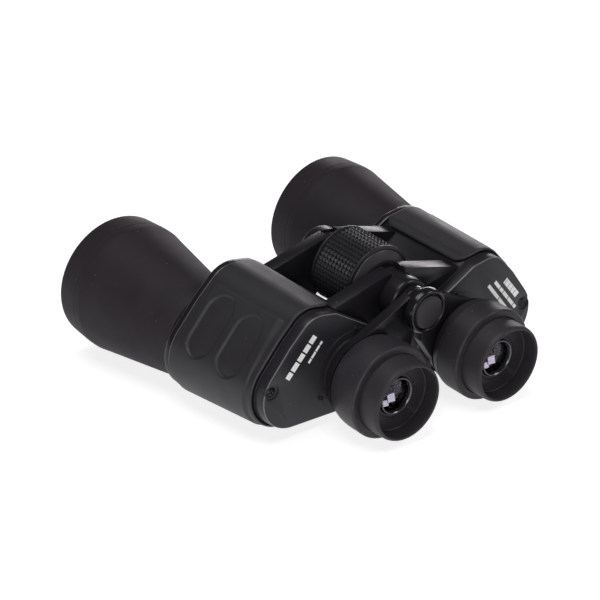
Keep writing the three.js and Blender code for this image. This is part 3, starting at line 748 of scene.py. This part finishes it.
@dataclass(frozen=True)
class GripRelief:
    """The armour's raised panel, with two sunk ovals and a ramp along its rear edge.

    Distances round the armour run outward and down from its highest line.
    """

    rise: float = 0.8
    top: float = 12.6
    bottom: float = 78.0
    rear: float = -42.2
    front: float = 3.6
    edge: float = 0.7
    ramp_top: float = 3.4
    ramp_foot: float = 47.0
    oval_middles: tuple[tuple[float, float], ...] = ((29.6, -8.2), (31.4, -28.2))
    oval_half_length: float = 15.2
    oval_half_width: float = 8.3
    oval_rim: float = 1.25
    oval_depth: float = 0.95

    def height(self, along: float, y: float) -> float:
        """Returns how far the armour stands out from its plain surface.

        Args:
            along: the distance round the armour.
            y: the distance along the hinge.
        """
        ramp = self.ramp_top * max(0.0, min(1.0, (self.ramp_foot - along) / (self.ramp_foot - self.top)))
        panel = self.rise
        panel *= eased((along - self.top) / self.edge) * eased((self.bottom - along) / 12.0)
        panel *= eased((self.front - y) / self.edge)
        panel *= max(0.0, min(1.0, (y - self.rear) / max(ramp, 0.5)))
        for middle_along, middle_y in self.oval_middles:
            straight = self.oval_half_length - self.oval_half_width
            away = max(abs(along - middle_along) - straight, 0.0)
            inside = self.oval_half_width - math.hypot(away, y - middle_y)
            panel -= self.oval_depth * eased(inside / self.oval_rim)
        return panel


def round_off(radius: float, away: float) -> float:
    """Returns how far a rounded corner cuts in from a square one, at a distance from its side."""
    short = max(radius - away, 0.0)
    return radius - math.sqrt(radius**2 - short**2)


def eased(share: float) -> float:
    """Returns a smooth step from 0 at 0 to 1 at 1."""
    t = max(0.0, min(1.0, share))
    return t * t * (3 - 2 * t)


@dataclass
class Half:
    """One half's casting, armour, covers, screws, barrel and objective, modelled on the right."""

    middle: ClassVar[Vector] = Vector((45.0, -25.0))  # a place inside the outline, as x and z
    thickness: float = 1.8
    sheet: float = 1.5
    step: float = 0.4
    armour_corner: float = 6.0
    armour_rim: float = 0.7
    inner_top: float = 37.5
    inner_bottom: float = 30.0
    relief: GripRelief = field(default_factory=GripRelief)
    cover_front: float = -45.7
    cover_face: float = -51.9
    step_radius: float = 19.8
    guide_bore: float = 14.6
    collar_radius: float = 16.6
    recess: tuple[float, float] = (3.8, 0.7)  # its radius and its depth
    screw_hole: tuple[float, float] = (2.4, 1.6)
    cross_slot: tuple[float, float, float] = (2.6, 1.2, 0.5)
    screws: tuple[tuple[float, float], ...] = ((75.3, -23.4), (20.18, -39.97))
    ring_screw_angles: tuple[float, ...] = (91.5, -28.5, 211.5)
    hood_bore: float = 29.3
    groove_count: int = 9
    notch_at: float = 24.9

    def build(self) -> None:
        """Builds both halves."""
        self.casting()
        self.armour()
        self.front_plate()
        self.rear_cover()
        self.cover_screws()
        self.ring_screws()
        self.barrel()
        self.objective()

    def pair(self, piece: Piece, part: str, finish: Finish | Glass, node: str,
             stands_for: bool = True) -> None:
        """Dresses a right-hand piece and its mirror image.

        Args:
            piece: the piece, modelled on the right.
            part: its name without its side.
            finish: its finish.
            node: its CAD node's name without the side.
            stands_for: whether it takes the node's place.
        """
        twin = other_side(piece, f"left_{part}")
        piece.name = f"right_{part}"
        dress(piece, finish, f"right_{node}", stands_for)
        dress(twin, finish, f"left_{node}", stands_for)

    def casting(self) -> None:
        """Builds the housings with their hinge arms."""
        for side in Side:
            piece = cad_copy(f"{side.word}_prism_housing", f"{side.word}_casting")
            line_edges(piece, CASTING)
            soften(piece, 0.3)
            dress(piece, CASTING, f"{side.word}_prism_housing")

    def armour(self) -> None:
        """Builds the rubber armour: a sheet wrapped round the housing, raised and sunk, made thick."""
        ring = SHAPE.outline(self.thickness)
        lengths = [0.0]
        for before, after in zip(ring, ring[1:]):
            lengths.append(lengths[-1] + (after - before).length)
        whole = lengths[-1] + (ring[0] - ring[-1]).length

        def spot(along: float) -> Vector:
            """Returns the outline's point at a distance round it."""
            wanted = along % whole
            i = bisect_right(lengths, wanted) - 1
            after = ring[(i + 1) % len(ring)]
            reach = (after - ring[i]).length
            return ring[i].lerp(after, (wanted - lengths[i]) / reach if reach else 0.0)

        start = -next(d / 10 for d in range(1, 600) if spot(-d / 10).x < self.inner_top)
        end = next(d / 10 for d in range(600, 2000) if spot(d / 10).x < self.inner_bottom)
        columns = round((end - start) / self.step)
        rows = round((SHAPE.front - SHAPE.rear) / self.step)
        clear_selection()
        bpy.ops.mesh.primitive_grid_add(x_subdivisions=columns, y_subdivisions=rows, size=2)
        piece = bpy.context.object
        for vertex in piece.data.vertices:
            y = SHAPE.rear + (vertex.co.y + 1) / 2 * (SHAPE.front - SHAPE.rear)
            from_end = min(y - SHAPE.rear, SHAPE.front - y)
            first = start + round_off(self.armour_corner, from_end)
            along = first + (end - first) * (vertex.co.x + 1) / 2
            here = spot(along)
            way = (spot(along + 0.2) - spot(along - 0.2)).normalized()
            outward = Vector((-way.y, way.x))
            if (here - self.middle).dot(outward) < 0:
                outward = -outward
            sunk = round_off(self.armour_rim, min(from_end, along - first, end - along))
            place = here + outward * (self.relief.height(along, y) - sunk)
            vertex.co = SHAPE.tapered(place.x, y, place.y)
        edit_all(piece)
        bpy.ops.mesh.normals_make_consistent(inside=False)
        if piece.data.polygons[0].normal.z < 0:
            bpy.ops.mesh.flip_normals()
        end_edit()
        apply_modifier(piece, "SOLIDIFY", thickness=self.sheet * MM, offset=-1.0)
        smooth(piece, 50.0)
        self.pair(piece, "grip_armour", ARMOUR, "armour")

    def front_plate(self) -> None:
        """Builds the plate between the housing and the barrel, with its rounded rim."""
        plate = SHAPE.block("front_plate", 1.2, 7.6, 10.9)
        axis = Axis.of("right_objective_barrel")
        combine(plate, disc(axis.x, axis.z, 15.7, 0, 20, 96))
        line_edges(plate, CASTING)
        soften(plate, 0.4)
        self.pair(plate, "front_plate", CASTING, "front_cover")

    def rear_cover(self) -> None:
        """Builds the rear cover: a block with a bevelled face, a round step, a guide and recesses."""
        eye = Axis.of("right_eyecup")
        cover = SHAPE.block("rear_cover", 0.0, self.cover_face, self.cover_front)
        line_edges(cover, COVER)
        soften(cover, 0.4, 2, 60.0)
        inside = self.cover_front - 1.3
        behind, before = self.cover_face - 8.1, self.cover_front + 5.7
        combine(cover, disc(eye.x, eye.z, self.step_radius, self.cover_face - 0.8, inside, 128), "UNION")
        combine(cover, disc(eye.x, eye.z, self.collar_radius, self.cover_face - 2.1, inside, 96), "UNION")
        combine(cover, disc(eye.x, eye.z, self.guide_bore, behind, before, 96))
        radius, depth = self.recess
        combine(cover, disc(*self.screws[0], radius, behind, self.cover_face + depth, 48))
        radius, depth = self.screw_hole
        for x, z in self.screws:
            combine(cover, disc(x, z, radius, behind, self.cover_face + depth, 32))
        soften(cover, 0.22, 2, 40.0)
        self.pair(cover, "eyepiece_cover", COVER, "rear_cover")
        self.print_bars()

    def print_bars(self) -> None:
        """Prints plain bars on the covers: a bold band and a fine one on the left, three on the right."""
        bold = self.bars((67.0, -19.5), (52.4, -2.3), 3.0, (0.15, 0.19, 0.17, 0.17, 0.17), 0.035)
        thin = self.bars((55.4, -15.0), (48.6, -6.6), 1.3, (0.2, 0.3, 0.28, 0.16), 0.03)
        for number, mesh in enumerate((bold, thin), 1):
            twin = other_side(mesh, f"left_print_{number}")
            bpy.data.objects.remove(mesh)
            dress(twin, PRINT, "left_rear_cover", False)
        lines = (
            ((61.8, -8.0), (71.0, -18.6), 3.0, (0.08, 0.2, 0.2, 0.2, 0.2)),
            ((55.2, -7.0), (71.2, -25.6), 1.7, (0.22, 0.12, 0.2, 0.22, 0.1)),
            ((51.2, -7.8), (69.2, -29.2), 1.7, (0.4, 0.28, 0.22)),
        )
        for number, (start, end, height, widths) in enumerate(lines, 1):
            mesh = self.bars(start, end, height, widths, 0.02)
            mesh.name = f"right_print_{number}"
            dress(mesh, PRINT, "right_rear_cover", False)

    def bars(self, start: tuple[float, float], end: tuple[float, float], height: float,
             widths: tuple[float, ...], gap: float) -> Piece:
        """Models a broken band of print on the cover's face.

        Args:
            start: where the band starts, as x and z.
            end: where it ends.
            height: how tall it is.
            widths: each bar's share of the band's length.
            gap: the gap's share between two bars.
        """
        way = Vector(end) - Vector(start)
        turn = (0, -math.atan2(way.y, way.x), 0)
        made = []
        reached = 0.0
        for width in widths:
            middle = Vector(start) + way * (reached + width / 2)
            place = at(middle.x, self.cover_face - PRINT_RISE, middle.y)
            made.append(brick(place, (way.length * width, PRINT_THICKNESS, height), turn))
            reached += width + gap
        band = joined(made, "print")
        soften(band, 0.02, 1)
        return band

    def cover_screws(self) -> None:
        """Builds the cross-head screws that hold the covers."""
        for number, (x, z) in enumerate(self.screws, 1):
            rear = self.cover_face + 0.2
            corners = [(rear + 1.2, 0.0), (rear + 0.15, 0.0), (rear + 0.15, 1.2, 0.3), (rear + 0.5, 2.1, 0.2),
                       (rear + 1.2, 2.1)]
            screw = turned("screw", corners, Axis(x, z), 32)
            for angle in (25, 115):
                combine(screw, brick(at(x, rear + 0.2, z), self.cross_slot, (0, math.radians(angle), 0)))
            smooth(screw)
            self.pair(screw, f"cover_screw_head_{number}", ALUMINIUM, f"cover_screw_{number}")

    def ring_screws(self) -> None:
        """Builds the three small screws round each cover's step."""
        eye = Axis.of("right_eyecup")
        for number, degrees in enumerate(self.ring_screw_angles, 1):
            angle = math.radians(degrees)
            x = eye.x + self.step_radius * math.cos(angle)
            z = eye.z + self.step_radius * math.sin(angle)
            rear = self.cover_face - 1.15
            corners = [(rear + 1.3, 0.0), (rear + 0.3, 0.0), (rear + 0.3, 0.4), (rear, 0.55, 0.1),
                       (rear, 1.0, 0.25), (rear + 0.5, 1.25, 0.2), (rear + 1.3, 1.25)]
            self.pair(turned("pin", corners, Axis(x, z), 24), f"ring_screw_{number}", ALUMINIUM,
                      "rear_cover", False)

    def barrel(self) -> None:
        """Builds the flared barrel, with its crease, its rolled front lip and grooves inside the hood."""
        corners = [
            (2.4, 15.5), (11.05, 15.5), (11.05, 22.3, 1.2), (64.6, 31.35, 2.0), (66.4, 31.75, 0.6),
            (69.4, 31.8, 0.5), (70.0, 31.62, 0.35), (70.7, 31.78, 0.5), (82.68, 31.0, 1.1),
            (82.68, self.hood_bore, 0.5),
        ]
        for i in range(self.groove_count):
            front = 81.4 - i * 1.2
            corners += [(front, self.hood_bore), (front - 0.35, self.hood_bore + 0.45),
                        (front - 0.7, self.hood_bore)]
        corners += [(69.5, self.hood_bore), (69.5, 26.2), (56.5, 26.2), (56.5, 23.8), (54.5, 23.8),
                    (54.0, 27.4), (13.2, 20.6), (13.2, 13.4), (2.4, 13.4)]
        piece = turned("barrel", corners, Axis.of("right_objective_barrel"), 128)
        self.pair(piece, "flared_barrel", BARREL, "objective_barrel")

    def objective(self) -> None:
        """Builds the objective: two domed lenses and the threaded ring that holds them."""
        axis = Axis.of("right_objective_barrel")
        crown = turned("crown", dome(61.8, -1.9, 65.1, 3.2, 26.0), axis)
        self.pair(crown, "front_crown_lens", FRONT_GLASS, "crown_lens")
        flint = turned("flint", dome(56.7, 0.8, 61.6, -1.9, 26.0), axis)
        self.pair(flint, "front_flint_lens", FRONT_GLASS, "flint_lens")
        corners = [(65.7, 26.0), (65.7, 24.4), (68.9, 24.4, 0.4), (69.5, 25.2, 0.3), (69.5, 26.0)]
        ring = turned("ring", corners, axis)
        for turn in (0, math.pi):
            x = axis.x + self.notch_at * math.cos(turn)
            z = axis.z + self.notch_at * math.sin(turn)
            combine(ring, disc(x, z, 0.9, 68.0, 72.0, 16))
        smooth(ring)
        self.pair(ring, "lens_retaining_ring", ALUMINIUM, "objective_ring")


def dome(rear: float, rear_sag: float, front: float, front_sag: float, radius: float) -> list[Corner]:
    """Returns a lens's section.

    Args:
        rear: where its rear face meets its edge.
        rear_sag: how far the rear face stands out backward in the middle.
        front: where its front face meets its edge.
        front_sag: how far the front face stands out forward in the middle.
        radius: the lens's radius.
    """
    rings = 14
    shares = [i / rings for i in range(rings + 1)]
    back = [(rear - rear_sag * (1 - s * s), radius * s) for s in shares]
    face = [(front + front_sag * (1 - s * s), radius * s) for s in reversed(shares)]
    return back + face


# ---- Hinge and focus drive ------------------------------------------------------------------------


@dataclass
class CentreLine:
    """The hinge, the focus wheel and the spindle's end."""

    teeth_round: int = 48
    teeth_along: int = 10
    wheel_radius: float = 17.1
    tooth: float = 0.8
    tooth_slope: float = 0.78
    hub_radius: float = 8.3

    def build(self) -> None:
        """Builds every piece on the hinge's axis that shows."""
        self.front_cap()
        self.collar()
        self.wheel_core()
        self.wheel_grip()
        self.hub_rings()
        self.end_cap()

    def front_cap(self) -> None:
        """Builds the cap over the front of the hinge, with a sunk ring round its middle."""
        corners = [(5.2, 9.0), (5.2, 11.44), (10.3, 11.44, 1.6), (11.7, 9.6, 1.2), (11.7, 7.4),
                   (11.2, 7.1), (11.2, 6.5), (11.7, 6.2), (11.7, 0.0), (9.9, 0.0), (9.9, 9.0)]
        dress(turned("front_hinge_cap", corners, HINGE), CASTING, "hinge_front_cap")

    def collar(self) -> None:
        """Builds the knuckle behind the rear arms, with its rounded shoulder and a step to the hub."""
        corners = [(-45.7, 4.9), (-45.7, 10.7, 0.2), (-53.1, 10.45, 0.6), (-54.2, 9.6, 0.5), (-54.2, 4.9)]
        dress(turned("rear_knuckle", corners, HINGE), CASTING, "rear_hinge_collar")

    def wheel_core(self) -> None:
        """Builds the wheel's core, with the polished cone at each end."""
        corners = [
            (-32.6, 16.15, 0.15), (-33.0, 16.0, 0.2), (-35.2, 12.3, 0.6), (-35.2, 10.4, 0.5),
            (-34.2, 9.8, 0.4), (-34.2, 4.9), (-5.2, 4.9), (-5.2, 9.8, 0.4), (-4.2, 10.4, 0.5),
            (-4.2, 12.3, 0.6), (-6.4, 16.0, 0.2), (-6.8, 16.15, 0.15),
        ]
        dress(turned("focus_wheel_hub", corners, HINGE), WHEEL_CONE, "focus_wheel_core")

    def wheel_grip(self) -> None:
        """Builds the rubber grip: a band with plain rims, whose middle is raised into blunt pyramids."""
        front, rear = -8.55, -31.0
        rows = [(rear + (front - rear) * i / self.teeth_along, self.wheel_radius)
                for i in range(self.teeth_along + 1)]
        corners = [(-32.6, 16.45), (-32.6, 17.4, 0.35), (-32.25, 18.0, 0.3), (-31.3, 18.0, 0.3),
                   (-31.15, 17.4)]
        corners += rows
        corners += [(-8.4, 17.4), (-8.2, 18.0, 0.3), (-7.15, 18.0, 0.3), (-6.8, 17.4, 0.35), (-6.8, 16.45)]
        piece = turned("focus_wheel_rubber", corners, HINGE, self.teeth_round)
        self.raise_teeth(piece, rear, front)
        smooth(piece, 24.0)
        dress(piece, WHEEL_RUBBER, "focus_wheel_grip")

    def raise_teeth(self, piece: Piece, rear: float, front: float) -> None:
        """Raises the band's faces into blunt pyramids.

        Args:
            piece: the band, with one face for each tooth.
            rear: where the teeth start.
            front: where they end.
        """

        def on_band(middle: Vector, normal: Vector) -> bool:
            """Returns whether a face is one of the band's outer faces."""
            out = math.hypot(middle.x, middle.z) > self.wheel_radius - 0.2
            return out and rear < middle.y < front and abs(normal.y) < 0.2

        select_faces(piece, on_band)
        bpy.ops.mesh.inset(thickness=self.tooth_slope * MM, depth=self.tooth * MM, use_individual=True)
        end_edit()

    def hub_rings(self) -> None:
        """Builds the two polished rings that show between the knuckle and the end cap."""
        radius = self.hub_radius
        corners = [(-54.7, 7.4), (-54.7, radius, 0.3), (-57.9, radius, 0.25), (-58.1, radius - 0.4),
                   (-58.4, radius - 0.4), (-58.6, radius, 0.25), (-61.6, radius, 0.3), (-61.6, 7.4)]
        dress(turned("polished_hub_rings", corners, HINGE), GLOSS, "spindle_end_cap", False)

    def end_cap(self) -> None:
        """Builds the ring and the disc that close the spindle's end."""
        corners = [(-61.9, 5.2), (-61.9, 10.2, 0.3), (-62.8, 10.72, 0.6), (-64.4, 10.72, 1.2),
                   (-66.6, 10.2, 1.6), (-66.9, 9.0, 0.5), (-66.3, 8.5, 0.3), (-65.3, 8.4), (-65.3, 5.2)]
        dress(turned("end_cap_ring", corners, HINGE), GLOSS, "spindle_end_cap")
        corners = [(-65.5, 0.0), (-67.9, 0.0), (-67.85, 3.0, 1.5), (-67.7, 5.4, 1.0), (-67.3, 7.5, 0.6),
                   (-66.4, 7.9, 0.4), (-65.5, 7.9)]
        dress(turned("end_cap_badge", corners, HINGE), PLASTIC, "end_cap_disc")


# ---- Bridges and eyepieces ------------------------------------------------------------------------


@dataclass
class Eyepiece:
    """One eyepiece with its bridge arm."""

    side: Side
    groove_count: int = 8
    slant_y: float = -77.9
    slant_thickness: float = 0.25
    slants: tuple[tuple[float, ...], ...] = (
        (4.3, -4.5, 3.4, 2.6, 0.0, 0.0),
        (0.5, -2.8, 3.8, 3.6, 14.0, -4.0),
        (-2.5, -4.6, 3.0, 2.6, 19.0, 0.0),
        (-1.7, 1.8, 5.0, 4.2, 26.0, 4.0),
        (3.8, 1.2, 3.6, 4.6, 22.0, -12.0),
        (0.6, 5.4, 4.8, 2.8, 30.0, 0.0),
    )

    def build(self) -> None:
        """Builds the eyepiece's pieces."""
        self.axis = Axis.of(f"{self.side.word}_eyecup")
        self.bridge()
        self.tube()
        self.body()
        self.eyecup()
        self.face()
        self.lens()

    def put(self, part: str, corners: list[Corner], finish: Finish | Glass, node: str,
            steps: int = 96) -> None:
        """Turns a piece on the eyepiece's axis and dresses it.

        Args:
            part: the piece's name without its side.
            corners: its section.
            finish: its finish.
            node: its CAD node's name without the side, or with it for a node on one side only.
            steps: the number of steps round it.
        """
        sided = node if node in frame["nodes"] else f"{self.side.word}_{node}"
        dress(turned(f"{self.side.word}_{part}", corners, self.axis, steps), finish, sided)

    def bridge(self) -> None:
        """Builds the arm from the spindle to the eyepiece."""
        node = f"{self.side.word}_bridge_arm"
        piece = cad_copy(node, f"{self.side.word}_bridge")
        line_edges(piece, CASTING)
        soften(piece, 0.3)
        dress(piece, CASTING, node)

    def tube(self) -> None:
        """Builds the tube that slides in the cover's guide."""
        corners = [(-43, 14.2, 0.3), (-43, 12.4), (-72.5, 12.4), (-72.5, 14.2)]
        self.put("guide_tube", corners, ALUMINIUM, "eyepiece_tube")

    def body(self) -> None:
        """Builds the eyepiece's body, which on the right is a seat with a dioptre ring behind it."""
        shoulder = [(-60.7, 14.4), (-60.7, 18.9, 0.4), (-61.6, 20.4, 0.9)]
        rear_edge = [(-78.0, 22.15, 0.5), (-78.7, 21.45, 0.4)]
        if self.side is Side.LEFT:
            corners = [*shoulder, (-66.7, 22.15, 4.5), *rear_edge, (-78.7, 18.8), (-72.5, 18.8), (-72.5, 14.4)]
            self.put("eyepiece_shell", corners, PLASTIC, "left_eyepiece_body", 128)
            return
        corners = [*shoulder, (-66.0, 22.0, 3.0), (-66.3, 22.0, 0.1), (-66.3, 14.4)]
        self.put("dioptre_shoulder", corners, PLASTIC, "right_dioptre_seat", 128)
        corners = [(-66.5, 19.0), (-66.5, 21.9, 0.15), (-66.8, 22.15, 0.3), *rear_edge, (-78.7, 19.0)]
        self.put("dioptre_grip", corners, PLASTIC, "dioptre_ring", 128)

    def eyecup(self) -> None:
        """Builds the rubber cup, with its rounded rim and a bead inside it."""
        corners = [(-73.8, 18.6), (-79.2, 18.6, 0.3), (-88.4, 18.45, 1.0), (-90.0, 17.7, 0.9),
                   (-90.0, 17.0, 0.5), (-88.9, 16.6, 0.8), (-86.0, 16.5), (-83.4, 16.5), (-73.8, 16.5)]
        self.put("rubber_cup", corners, CUP_RUBBER, "eyecup", 128)

    def face(self) -> None:
        """Builds the ribbed face round the eye lens."""
        outer, inner = 15.6, 10.4
        pitch = (outer - inner) / self.groove_count
        corners: list[Corner] = [(-72.7, 16.3), (-83.0, 16.3), (-83.0, 15.9)]
        for i in range(self.groove_count):
            r = outer - i * pitch
            y = -82.8 + 1.5 * (i + 1) / self.groove_count
            corners += [(y - 0.12, r), (y - 0.12, r - 0.4 * pitch),
                        (y + 0.3, r - 0.55 * pitch), (y + 0.3, r - 0.9 * pitch)]
        corners += [(-81.2, 10.2, 0.3), (-81.2, 9.1, 0.3), (-80.4, 9.0), (-72.7, 9.0)]
        self.put("ribbed_face", corners, PLASTIC, "ocular_face", 128)

    def lens(self) -> None:
        """Builds the eye lens and the bright ring round it."""
        corners = [(-80.6, 8.8), (-80.6, 7.6, 0.1), (-81.9, 7.75, 0.3), (-82.5, 8.3, 0.3), (-82.3, 8.8, 0.1)]
        self.put("bright_lens_ring", corners, LENS_RING, "lens_ring")
        self.put("domed_eye_lens", dome(-79.4, 2.2, -78.6, -1.7, 8.6), GLASS, "eye_lens", 64)
        self.prism_faces()

    def prism_faces(self) -> None:
        """Builds the slanting silvered faces that show behind the eye lens."""
        made = [
            brick(at(self.axis.x + x, self.slant_y, self.axis.z + z), (width, self.slant_thickness, height),
                  (-math.radians(up), 0, math.radians(across)))
            for x, z, width, height, up, across in self.slants
        ]
        faces = joined(made, f"{self.side.word}_prism_faces")
        soften(faces, 0.05, 1)
        dress(faces, SILVERED, f"{self.side.word}_eye_lens", False)


# ---- Stage ---------------------------------------------------------------------------------------


@dataclass(frozen=True)
class Lamp:
    """A soft panel of light that points at the object."""

    name: str
    place: tuple[float, float, float]
    size: tuple[float, float]
    watts: float
    colour: Colour = (1.0, 1.0, 1.0)

    def hang(self) -> None:
        """Adds the lamp to the scene."""
        light = bpy.data.lights.new(self.name, "AREA")
        light.shape = "RECTANGLE"
        light.size, light.size_y = self.size
        light.energy = self.watts
        light.color = self.colour
        lamp = bpy.data.objects.new(self.name, light)
        lamp.location = self.place
        lamp.rotation_euler = (-Vector(self.place)).to_track_quat("-Z", "Y").to_euler()
        bpy.context.scene.collection.objects.link(lamp)


@dataclass
class Studio:
    """The pale floor that the object stands on, the lights and the camera."""

    floor_half: float = 9.0
    floor_gap: float = 0.0002
    floor_glow: float = 0.8
    crease: float = 67.6  # from the barrel's rear end to the crease that it stands on, in millimetres
    focal_length: float = 136.8
    lamps: tuple[Lamp, ...] = (
        Lamp("overhead", (-0.35, 0.05, 1.5), (1.1, 0.9), 14.5),
        Lamp("left_panel", (-1.4, -1.3, 0.75), (1.0, 0.8), 13.5),
        Lamp("back_right", (1.9, 1.7, 0.45), (1.3, 0.4), 15.0, (1.0, 0.94, 0.98)),
        Lamp("rear_right", (1.1, -0.87, 1.26), (0.5, 0.5), 8.0),
    )
    camera_place: tuple[float, float, float] = (-0.623191, -0.702613, 0.464129)
    camera_right: tuple[float, float, float] = (0.77303, -0.63245, 0.04938)
    camera_up: tuple[float, float, float] = (0.25834, 0.38495, 0.88603)
    camera_back: tuple[float, float, float] = (-0.57937, -0.67217, 0.46099)

    def build(self) -> None:
        """Builds the stage."""
        self.floor()
        self.sky()
        for lamp in self.lamps:
            lamp.hang()
        self.camera()
        bpy.context.scene.view_settings.view_transform = "Standard"

    def floor(self) -> None:
        """Lays the floor under the barrels' creases and the eyepieces."""
        low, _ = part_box("right_objective_barrel")
        front_y = low.y + self.crease * MM
        ring_low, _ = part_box("dioptre_ring")
        drop, reach = ring_low.z - low.z, ring_low.y - front_y
        clear_selection()
        turn = (math.atan2(drop, reach) - math.pi, 0, 0)
        bpy.ops.mesh.primitive_plane_add(size=2 * self.floor_half, rotation=turn)
        floor = bpy.context.object
        floor.name = "floor"
        floor.location = (0, 0, low.z - drop / reach * front_y - self.floor_gap)
        settle_place(floor)
        edit_all(floor)
        bpy.ops.mesh.subdivide(number_cuts=8)
        end_edit()
        if floor.data.polygons[0].normal.z < 0:
            floor.data.flip_normals()
        floor.data.materials.append(self.floor_material())

    def floor_material(self) -> Material:
        """Returns the floor's matte white plastic, very slightly mottled and lit from below."""
        material, surface = new_material("studio_floor", {
            "Roughness": 0.9, "Specular IOR Level": 0.1,
            "Emission Color": (1.0, 1.0, 1.0, 1.0), "Emission Strength": self.floor_glow,
        })
        tree = material.node_tree
        mottle = add_texture(tree, "TexNoise", {"Scale": 3.0})
        colour = mix_colour(tree, (0.38, 0.38, 0.38), (0.42, 0.42, 0.42), mottle.outputs["Fac"])
        tree.links.new(colour, surface.inputs["Base Color"])
        return material

    def sky(self) -> None:
        """Surrounds the stage with pale light."""
        world = bpy.data.worlds.new("studio_sky")
        bpy.context.scene.world = world
        world.use_nodes = True
        pale = {"Color": (0.93, 0.93, 0.95, 1.0), "Strength": 0.07}
        set_sockets(world.node_tree.nodes["Background"], pale)

    def camera(self) -> None:
        """Sets the camera up."""
        data = bpy.data.cameras.new("studio_camera")
        data.sensor_width = 36.0
        data.lens = self.focal_length
        data.clip_end = 100.0
        camera = bpy.data.objects.new("studio_camera", data)
        axes = Matrix((self.camera_right, self.camera_up, self.camera_back)).transposed()
        camera.matrix_world = Matrix.Translation(ORIGIN + Vector(self.camera_place)) @ axes.to_4x4()
        bpy.context.scene.collection.objects.link(camera)
        bpy.context.scene.camera = camera


def dress_kept_nodes() -> None:
    """Gives the CAD nodes that keep their own shape their finishes."""
    chosen = [(finish, node) for finish, nodes in KEPT_FINISHES.items() for node in nodes]
    chosen += [(finish, f"{side.word}_{node}")
               for finish, nodes in SIDED_FINISHES.items() for node in nodes for side in Side]
    for finish, node in chosen:
        kept = frame["nodes"][node]
        kept.data.materials.clear()
        kept.data.materials.append(finish.material())
        log.info("%s keeps its CAD shape", node)


def main() -> None:
    """Builds the object and its stage."""
    logging.basicConfig(level=logging.INFO, format="%(message)s")
    Studio().build()
    Half().build()
    CentreLine().build()
    for side in Side:
        Eyepiece(side).build()
    dress_kept_nodes()


if __name__ == "__main__":
    main()
